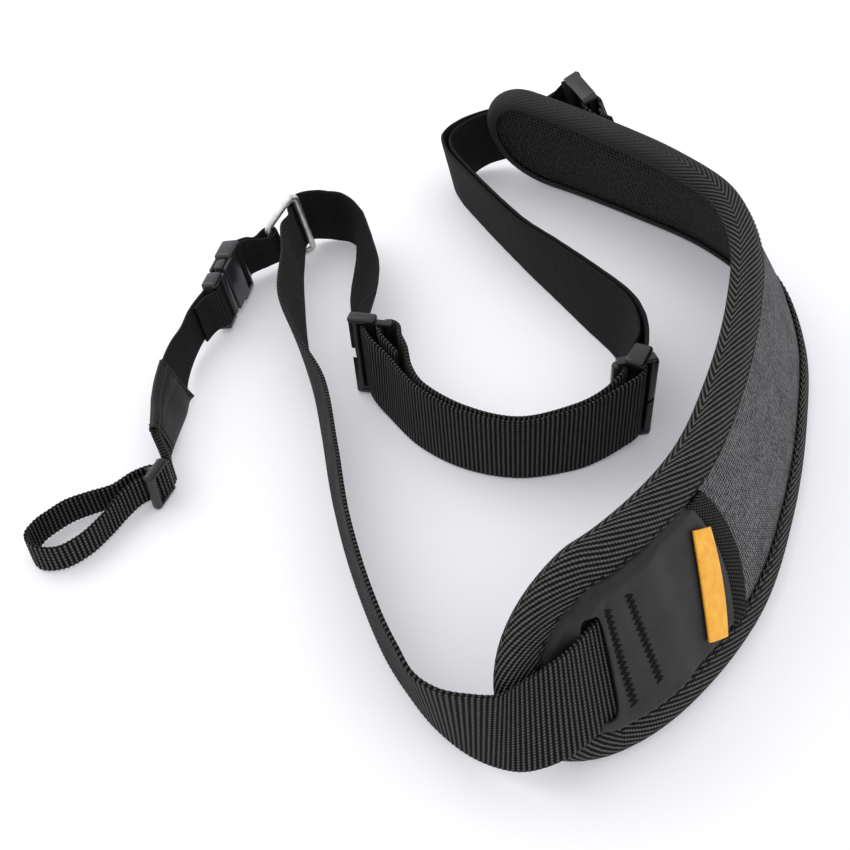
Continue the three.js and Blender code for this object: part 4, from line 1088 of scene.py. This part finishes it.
def bar(span_x, span_y, span_z, corner=0.0, turn=(0, 0, 0)):
    """A block of millimetre spans, its edges rounded by corner, turned in degrees about its middle."""
    spans = np.array([span_x, span_y, span_z], float)
    bpy.ops.object.select_all(action="DESELECT")
    bpy.ops.mesh.primitive_cube_add(size=1, location=spans.mean(axis=1) * MM, rotation=np.radians(turn))
    made = bpy.context.object
    made.scale = (spans[:, 1] - spans[:, 0]) * MM
    bpy.ops.object.transform_apply(location=True, rotation=True, scale=True)
    if corner:
        bpy.ops.object.mode_set(mode="EDIT")
        bpy.ops.mesh.select_all(action="SELECT")
        bpy.ops.mesh.bevel(offset=corner * MM, segments=4)
        bpy.ops.object.mode_set(mode="OBJECT")
    return made


def moulding(name, bars, cuts, piece_frame, edge):
    """A block cut open and the others moulded to it, edges rounded, put in the frame of a piece."""
    made = bars[0]
    made.name = name
    made.data.name = name
    for other, operation in [(c, "DIFFERENCE") for c in cuts] + [(b, "UNION") for b in bars[1:]]:
        apply_modifier(made, "BOOLEAN", object=other, operation=operation, solver="EXACT")
        bpy.data.objects.remove(other)
    apply_modifier(
        made, "BEVEL", width=edge * MM, segments=3, limit_method="ANGLE", angle_limit=math.radians(35))
    bpy.ops.object.shade_smooth_by_angle(angle=math.radians(45))
    at, x, y, z = piece_frame
    base = to_part(at)
    made.data.transform(Matrix([[x[i], y[i], z[i], base[i]] for i in range(3)] + [[0, 0, 0, 1]]))
    return made


def upright(x, y, degrees):
    """The frame of a piece that stands straight up on the floor."""
    return frame_of((x, y, 0), heading(degrees), (0, 0, 1))


SLIDER_HALF = SLIDER_WIDE / 2
adjuster = moulding("adjuster_slider_moulding", [
    bar((-SLIDER_HALF, -3.8), (-1.6, 1.6), (0, 29.6), corner=1.3),
    bar((-2, 2), (-1.1, 1.1), (0.5, 28.6)),
    bar((5, SLIDER_HALF), (-1.1, 1.1), (0.5, 28), corner=0.5),
    bar((-SLIDER_HALF, 2), (-2, 2), (27.8, SLIDER_TALL), corner=1),
    bar((-3, SLIDER_HALF), (-1.2, 1.2), (27, 28.4), corner=0.5),
    bar((-SLIDER_HALF, 2), (-1.7, 1.7), (0, 2.6), corner=1.2),
    bar((-4, SLIDER_HALF), (-1.2, 1.2), (0.3, 1.9)),
], [bar((-9, -4.9), (-5, 5), (13.8, 16.6), turn=(-40, 0, 0))], upright(*ADJUSTER_AT, -17), 0.3)
dress(adjuster, satin_plastic, "plastic", "adjuster_slider")
keeper = moulding("keeper_slider_moulding", [
    bar((3.8, 6.3), (-2, 2), (0, 28.4), corner=1),
    bar((-2, 1.6), (-1.1, 1.1), (0.5, 28.6)),
    bar((-SLIDER_HALF, -4.1), (-1.6, 1.6), (0, 28), corner=1.2),
    bar((-5.6, 5.6), (-1.4, 1.4), (27.5, 28.8)),
    bar((-6.4, 6), (-2.2, 2.2), (0, 2), corner=0.8),
    bar((-3.6, 5.6), (-2, 3.8), (27.2, SLIDER_TALL), corner=1.2, turn=(0, 0, 53)),
], [bar((1, 10), (-4, 4), (13.6, 14.4), turn=(0, -40, 0))], upright(60.3, -10.9, 6), 0.3)
dress(keeper, satin_plastic, "plastic", "keeper_slider")
lock = softened("pad_end_slider", "pad_end_slider_moulding", 0.9 * MM)
dress(lock, satin_plastic, "plastic", "pad_end_slider")
loop_slider = moulding("loop_slider_moulding", [
    bar((-4.8, 4.6), (-3.3, -0.3), (0, 13.2), corner=1.4),
    bar((-0.65, 0.65), (-0.65, 0.65), (0.6, 12.4)),
    bar((3.6, 4.4), (-0.7, 0.2), (1, 12), corner=0.3),
    bar((3.5, 4.3), (-3.3, -2.85), (0.8, 12.4), corner=0.2),
], [
    bar((-3.2, 3.9), (-6, 2), (1.5, 11.7)), bar((3, 6), (-2.9, 1), (1.5, 11.7)),
], upright(-78.6, -21.6, 68), 0.2)
dress(loop_slider, satin_plastic, "plastic", "loop_slider")


# Ring: nickel-plated steel wire bent to a rounded trapezoid.
# The main webbing goes round its long bar and the connector band round its short one.
TARNISH = 0.004
# Nickel plate: bright and a little warm, softly blurred by handling.
plated_wire, shader = new_material("nickel_plated_steel_wire", {"Metallic": 1.0, "Roughness": 0.45})
where = add_node(plated_wire, "ShaderNodeTexCoord", {}, {})
tarnish = add_node(plated_wire, "ShaderNodeTexNoise", {}, {
    "Vector": (where, "Object"), "Scale": 1 / TARNISH, "Detail": 4.0})
wire_tone = add_node(
    plated_wire, "ShaderNodeValToRGB", {}, {"Fac": (tarnish, "Fac")}, [(0.3, "#d2cec9"), (0.7, "#fbfaf8")])
wire(plated_wire, wire_tone, "Color", shader, "Base Color")
RING_SHORT = 17.5
RING_SHOULDER = 2.8
RING_CORNER = 2.4
RING_WIRE = 2.5
RING_SIDES = 16
RING_GIRTH = 6.9
RING_ROUND = 88


def ring_rings():
    """Circles of wire along the ring's line, which is bent round each corner."""
    low_end = (RING_LONG - RING_SHORT) / 2
    corners = np.array([
        (0, 0), (0, RING_LONG), (RING_SHOULDER, RING_LONG), (RING_DEPTH, RING_LONG - low_end),
        (RING_DEPTH, low_end), (RING_SHOULDER, 0)], float)
    path = []
    for i, corner in enumerate(corners):
        back = corner + unit(corners[i - 1] - corner) * RING_CORNER * 0.8
        on = corner + unit(corners[(i + 1) % len(corners)] - corner) * RING_CORNER * 0.8
        for t in np.linspace(0, 1, 9):
            path.append(back * (1 - t) ** 2 + corner * 2 * t * (1 - t) + on * t * t)
    at, x, y, z = ring_frame
    rings = []
    for i, p in enumerate(path):
        step = unit(path[(i + 1) % len(path)] - path[i - 1])
        out = np.array([step[1], -step[0]])
        rings.append([
            at + x * (p[0] + out[0] * RING_WIRE / 2 * math.cos(a))
            + z * (p[1] + out[1] * RING_WIRE / 2 * math.cos(a)) + y * RING_WIRE / 2 * math.sin(a)
            for a in np.linspace(0, 2 * math.pi, RING_SIDES + 1)[:-1]])
    return rings


rings = ring_rings()
ring = loft(
    "strap_ring_wire", rings, np.linspace(0, RING_GIRTH, RING_SIDES + 1),
    np.linspace(0, RING_ROUND, len(rings) + 1), closed=True)
dress(ring, plated_wire, "metal", "strap_ring")


# Connector band: a 14 mm nylon webbing of fine ribs, sewn into a flat loop.
# It goes round the ring's short bar and through the buckle's end slot.
CONNECTOR_WIDTH = 14
CONNECTOR_THICK = 1.3
BUCKLE_WIDE = 20
BUCKLE_MALE = 27.4
BUCKLE_BAR = 2.2
buckle_frame = frame_of((-60.9, 82.8, 0.5), heading(-101.5), (-0.13, 0.03, 0.99))


def on_buckle(dx, dy):
    return on_piece(buckle_frame, BUCKLE_WIDE, dx, dy, CONNECTOR_WIDTH)


def band_ring(dx, dy):
    return on_ring(RING_DEPTH + dx, dy, CONNECTOR_WIDTH)


band_rows = [
    band_ring(-2.4, 0), band_ring(-1.5, 1.9), band_ring(0.6, 2.5), (-53, 90.1, 3.2, -2, -2.6),
    (-56, 88, 3.3, -2, -0.6), on_buckle(-2, 1.9), on_buckle(1.2, 2.5), on_buckle(3.4, 1.9), on_buckle(4.2, 0),
    on_buckle(3.4, -1.9), on_buckle(1.2, -2.5), on_buckle(-2, -1.9), (-57, 89.5, 3.3, -2, -0.6),
    (-54, 91.6, 3.2, -2, -2.6), band_ring(0.6, -2.5), band_ring(-1.5, -1.9)]
BAND_PITCH = 0.9
BAND_RIB = 0.06
BAND_STEP = 0.3
# Its colours are the painted shade of the rib valleys and the painted highlight of the ridges.
soft_webbing = webbing_material("black_fine_nylon_webbing", "#101010", "#3c3c3b", BAND_PITCH, 0.75, 0.55)
band = strap(
    "connector_band_strap", route(band_rows, CONNECTOR_WIDTH, True), 0, len(band_rows), CONNECTOR_WIDTH,
    CONNECTOR_THICK, BAND_STEP, BAND_RIB, BAND_PITCH, closed=True)
dress(band, soft_webbing, "webbing", "connector_band")


# Buckle: a small fastened side-release buckle of glossy moulded acetal, standing on its edge.
# The male's rounded prong heads show at the female's open sides, and a gap is left before
# its base, which has a slot and a thinned bar for the webbing.
WEAR = 0.003
# Acetal from a polished mould: near black with sharp highlights, dulled in patches by wear.
gloss_plastic, shader = new_material("black_gloss_acetal", {
    "Base Color": linear("#29292c"), "IOR": ACETAL_IOR})
where = add_node(gloss_plastic, "ShaderNodeTexCoord", {}, {})
wear = add_node(gloss_plastic, "ShaderNodeTexNoise", {}, {
    "Vector": (where, "Object"), "Scale": 1 / WEAR, "Detail": 5.0, "Roughness": 0.7})
wear_rough = add_node(gloss_plastic, "ShaderNodeMapRange", {}, {
    "Value": (wear, "Fac"), "To Min": 0.12, "To Max": 0.34})
wire(gloss_plastic, wear_rough, "Result", shader, "Roughness")
BUCKLE_SLOT = (2.4, 17.6)
female = moulding("buckle_female_moulding", [
    bar((0, 10.4), (-3.3, 3.3), (0, BUCKLE_WIDE), corner=1.3),
    bar((8, 17), (1.9, 3.3), (1.4, 18.6), corner=0.6),
    bar((8, 17), (-3.3, -1.9), (1.4, 18.6), corner=0.6),
], [bar((2.2, 6.2), (-5, 5), BUCKLE_SLOT), bar((8, 18), (-1.9, 1.9), (2, 18))], buckle_frame, 0.3)
dress(female, gloss_plastic, "buckle_plastic", "buckle_female")
male = moulding("buckle_male_moulding", [
    bar((19.6, BUCKLE_MALE), (-2.6, 2.6), (0.4, 19.6), corner=1),
    bar((10.8, 16.6), (-1.7, 1.7), (14.4, 19.2), corner=0.9),
    bar((10.8, 16.6), (-1.7, 1.7), (0.8, 5.6), corner=0.9),
    bar((15.4, 20.4), (-1.5, 1.5), (12.6, 15.6), corner=0.4),
    bar((15.4, 20.4), (-1.5, 1.5), (4.4, 7.4), corner=0.4),
    bar((9, 20.4), (-1, 1), (9, 11)),
    bar((18.2, 20.8), (1.5, 3.1), (1.8, 18.2), corner=0.7),
    bar((18.2, 20.8), (-3.1, -1.5), (1.8, 18.2), corner=0.7),
], [
    bar((21.2, BUCKLE_MALE - BUCKLE_BAR), (-5, 5), BUCKLE_SLOT),
    bar((21.2, 29), (1.3, 5), BUCKLE_SLOT),
    bar((21.2, 29), (-5, -1.3), BUCKLE_SLOT),
], buckle_frame, 0.25)
dress(male, gloss_plastic, "buckle_plastic", "buckle_male")


# Wrap: a flat sleeve of the same synthetic leather, folded round the tail's end and the loop's
# ends, cut slanting at its top and sewn through near both ends.
# Rows as for a strap, then the sleeve's width and thickness there.
WRAP_WIDTH = 16.2
WRAP_WALL = 0.6
WRAP_START = 0.1
WRAP_SLANT = 0.08
WRAP_EAR = 1.7
WRAP_THICK = 4.2
WRAP_ROWS = [
    (-75.6, 25.5, 0, -5, -0.2, WRAP_WIDTH, WRAP_THICK), (-75, 20.5, 0, -5.9, 0, WRAP_WIDTH, WRAP_THICK),
    (-75, 13.2, 0, -6.3, 0.6, 16, WRAP_THICK), (-76.2, 5.5, 0, -5.6, 0.8, 14.6, 4.6),
    (-77.2, 0.5, 0, -4.2, 0.7, 13.4, 4.8), (-77.9, -4.5, 0, -3.2, 0.4, 12.4, 4.8)]
WRAP_SPANS = len(WRAP_ROWS) - 1
wrap_way = route(WRAP_ROWS, WRAP_WIDTH)
wrap_sizes = spline([(row[5], row[6], 0) for row in WRAP_ROWS], even=True)


def wrap_point(t, over, q, n):
    """A point on the sleeve: t along it, q from its lower edge to its upper one, n off its middle."""
    wide, thick, _ = wrap_sizes(t * WRAP_SPANS)
    slanted = t + (WRAP_START + WRAP_SLANT * (1 - q)) * (1 - t) ** 3
    at, across_strap, face = stand(wrap_way, slanted * WRAP_SPANS, thick)
    ear = WRAP_EAR * math.exp(-(t / 0.08) ** 2) * (1 - q) ** 5
    return at + across_strap * (over + q * (wide - 2 * over)) + face * (n + ear)


WRAP_SEAMS = (0.07, 0.93)
WRAP_PINCH = 0.12


def wrap_half(t, q):
    """Half the sleeve's thickness: fuller where the loop's ends lie in it, creased, pinched at its seams."""
    bulk = 1.2 + 0.7 * smooth_step(t, 0.4, 0.8)
    crease = 0.3 * math.exp(-((q - 0.8) / 0.035) ** 2) + 0.15 * math.exp(-((q - 0.45 - 0.3 * t) / 0.04) ** 2)
    pinch = sum(WRAP_PINCH * math.exp(-((t - seam_at) / 0.03) ** 2) for seam_at in WRAP_SEAMS)
    return bulk * (0.35 + 0.65 * (1 - abs(2 * q - 1) ** 5)) - crease - pinch


WRAP_SIDE = 41
WRAP_GIRTH = 40
WRAP_ROUND = 72


def wrap_ring(t, inset):
    """One ring of the sleeve's outer skin, or of its inner skin where inset is its wall."""
    sides = [0.5 - 0.5 * math.cos(a) for a in np.linspace(0, math.pi, WRAP_SIDE)]
    left = [wrap_point(t, inset, q, inset * 0.5 - wrap_half(t, q)) for q in sides]
    far = [wrap_point(t, inset, q, wrap_half(t, q) - inset * 0.5) for q in sides]
    return left + far[::-1]


wrap_places = np.linspace(0, 1, 61)
rings = [wrap_ring(t, 0) for t in wrap_places] + [wrap_ring(t, WRAP_WALL) for t in wrap_places[::-1]]
wrap = loft(
    "connector_wrap_sleeve", rings, np.linspace(0, WRAP_GIRTH, 2 * WRAP_SIDE + 1),
    np.linspace(0, WRAP_ROUND, len(rings) + 1), closed=True)
dress(wrap, leather, "leather", "connector_wrap")
wrap_marks = []
for t in WRAP_SEAMS:
    _, across_strap, face = stand(wrap_way, t * WRAP_SPANS, WRAP_THICK)
    for q in np.arange(0.1, 0.95, 0.1):
        wrap_marks += [(wrap_point(t, 0, q, wrap_half(t, q) + 0.05), across_strap, face)]
        wrap_marks += [(wrap_point(t, 0, q, -wrap_half(t, q) - 0.05), across_strap, -face)]
stitches("wrap_stitches", wrap_marks, long=1.2, wide=0.45, rise=0.16)


def in_wrap(t, n, width):
    """A row for a strap of some width that lies in the sleeve."""
    wide, thick, _ = wrap_sizes(t * WRAP_SPANS)
    at, across_strap, face = stand(wrap_way, t * WRAP_SPANS, thick)
    foot = at + across_strap * (wide - width) / 2 + face * n
    return (*foot, across_strap[0] * width, across_strap[1] * width)


# Connector tail: the same fine nylon webbing as the band.
# It goes round the buckle's thinned bar, its end folded back, and into the wrap, where it is sewn.
MALE_BAR = BUCKLE_MALE - BUCKLE_BAR / 2
tail_rows = [
    (-71.6, 48, 2.4, -1.4, 0.6), (-68.6, 53, 3, -1.7, 0.5), on_buckle(MALE_BAR + 1.4, 2.5),
    on_buckle(MALE_BAR - 2, 2), on_buckle(MALE_BAR - 2.9, 0), on_buckle(MALE_BAR - 2, -2),
    on_buckle(MALE_BAR + 1.4, -2.5), (-70.6, 53.4, 3, -1.7, 0.5), (-73.4, 47.5, 2.2, -1.4, 0.6),
    (-75.3, 40, 1.5, -1.2, 0.2), (-76, 33, 1.4, -3, 0)]
tail_rows += [in_wrap(t, 0, CONNECTOR_WIDTH) for t in (0, 0.1, 0.2, 0.3, 0.4)]
tail = strap(
    "connector_tail_strap", route(tail_rows, CONNECTOR_WIDTH), 0, len(tail_rows) - 1, CONNECTOR_WIDTH,
    CONNECTOR_THICK, BAND_STEP, BAND_RIB, BAND_PITCH)
dress(tail, soft_webbing, "webbing", "connector_tail")


# Camera loop: a thin 10 mm nylon webbing with bold cross ribs.
# It leaves the wrap, goes through the small slider, turns and comes back the same way.
CORD_WIDTH = 10
CORD_THICK = 1.05
loop_rows = [
    in_wrap(0.8, 0.78, CORD_WIDTH), in_wrap(0.99, 0.78, CORD_WIDTH), (-75.6, -13.1, 1.6, 0, 0),
    (-74.2, -16.9, 1.6, 0, 0), (-74.6, -18.5, 1.6, 0, 0), (-75.7, -21.15, 1.6, 0, 0),
    (-77.2, -23.1, 1.6, 0, 0), (-78.8, -23.8, 1.6, 0, 0), (-80.3, -23.7, 1.6, 0, 0),
    (-82.8, -25.2, 1.6, 0, 0), (-86.2, -28.4, 0.6, 0, 0), (-90.2, -34.5, 0, 0.5, -0.5),
    (-95, -41.2, 0, 0.5, -0.8), (-101, -45.2, 0, 0.5, -0.8),
    (-107.5, -44.8, 0, 0.5, 0.4), (-110.4, -40, 0, 0.4, 0), (-109.2, -35, 0, 0.8, -0.5),
    (-106, -31.2, 0, 0.8, -0.8), (-102, -28, 0, 0.5, -0.8), (-96.5, -25.6, 0, 0.5, -1),
    (-90, -23.6, 0, 0.4, -1), (-83.6, -20.8, 1.5, 0.2, -0.5), (-78.7, -19.4, 1.6, 0, 0),
    (-77.2, -19.7, 1.6, 0, 0), (-76, -18.3, 1.6, 0, 0), (-75.6, -16.4, 1.6, 0, 0), (-77, -12.5, 1.6, 0, 0),
    in_wrap(0.99, -0.78, CORD_WIDTH), in_wrap(0.8, -0.78, CORD_WIDTH)]
CORD_PITCH = 1.3
CORD_RIB = 0.3
CORD_STEP = 0.25
# Its colours are the painted shade of the rib valleys and the painted highlight of the ridges.
cord_webbing = webbing_material("black_narrow_nylon_webbing", "#050505", "#626260", CORD_PITCH, 1.25, 1.0)
loop = strap(
    "camera_loop_strap", route(loop_rows, CORD_WIDTH), 0, len(loop_rows) - 1, CORD_WIDTH, CORD_THICK,
    CORD_STEP, CORD_RIB, CORD_PITCH)
dress(loop, cord_webbing, "webbing", "camera_loop")
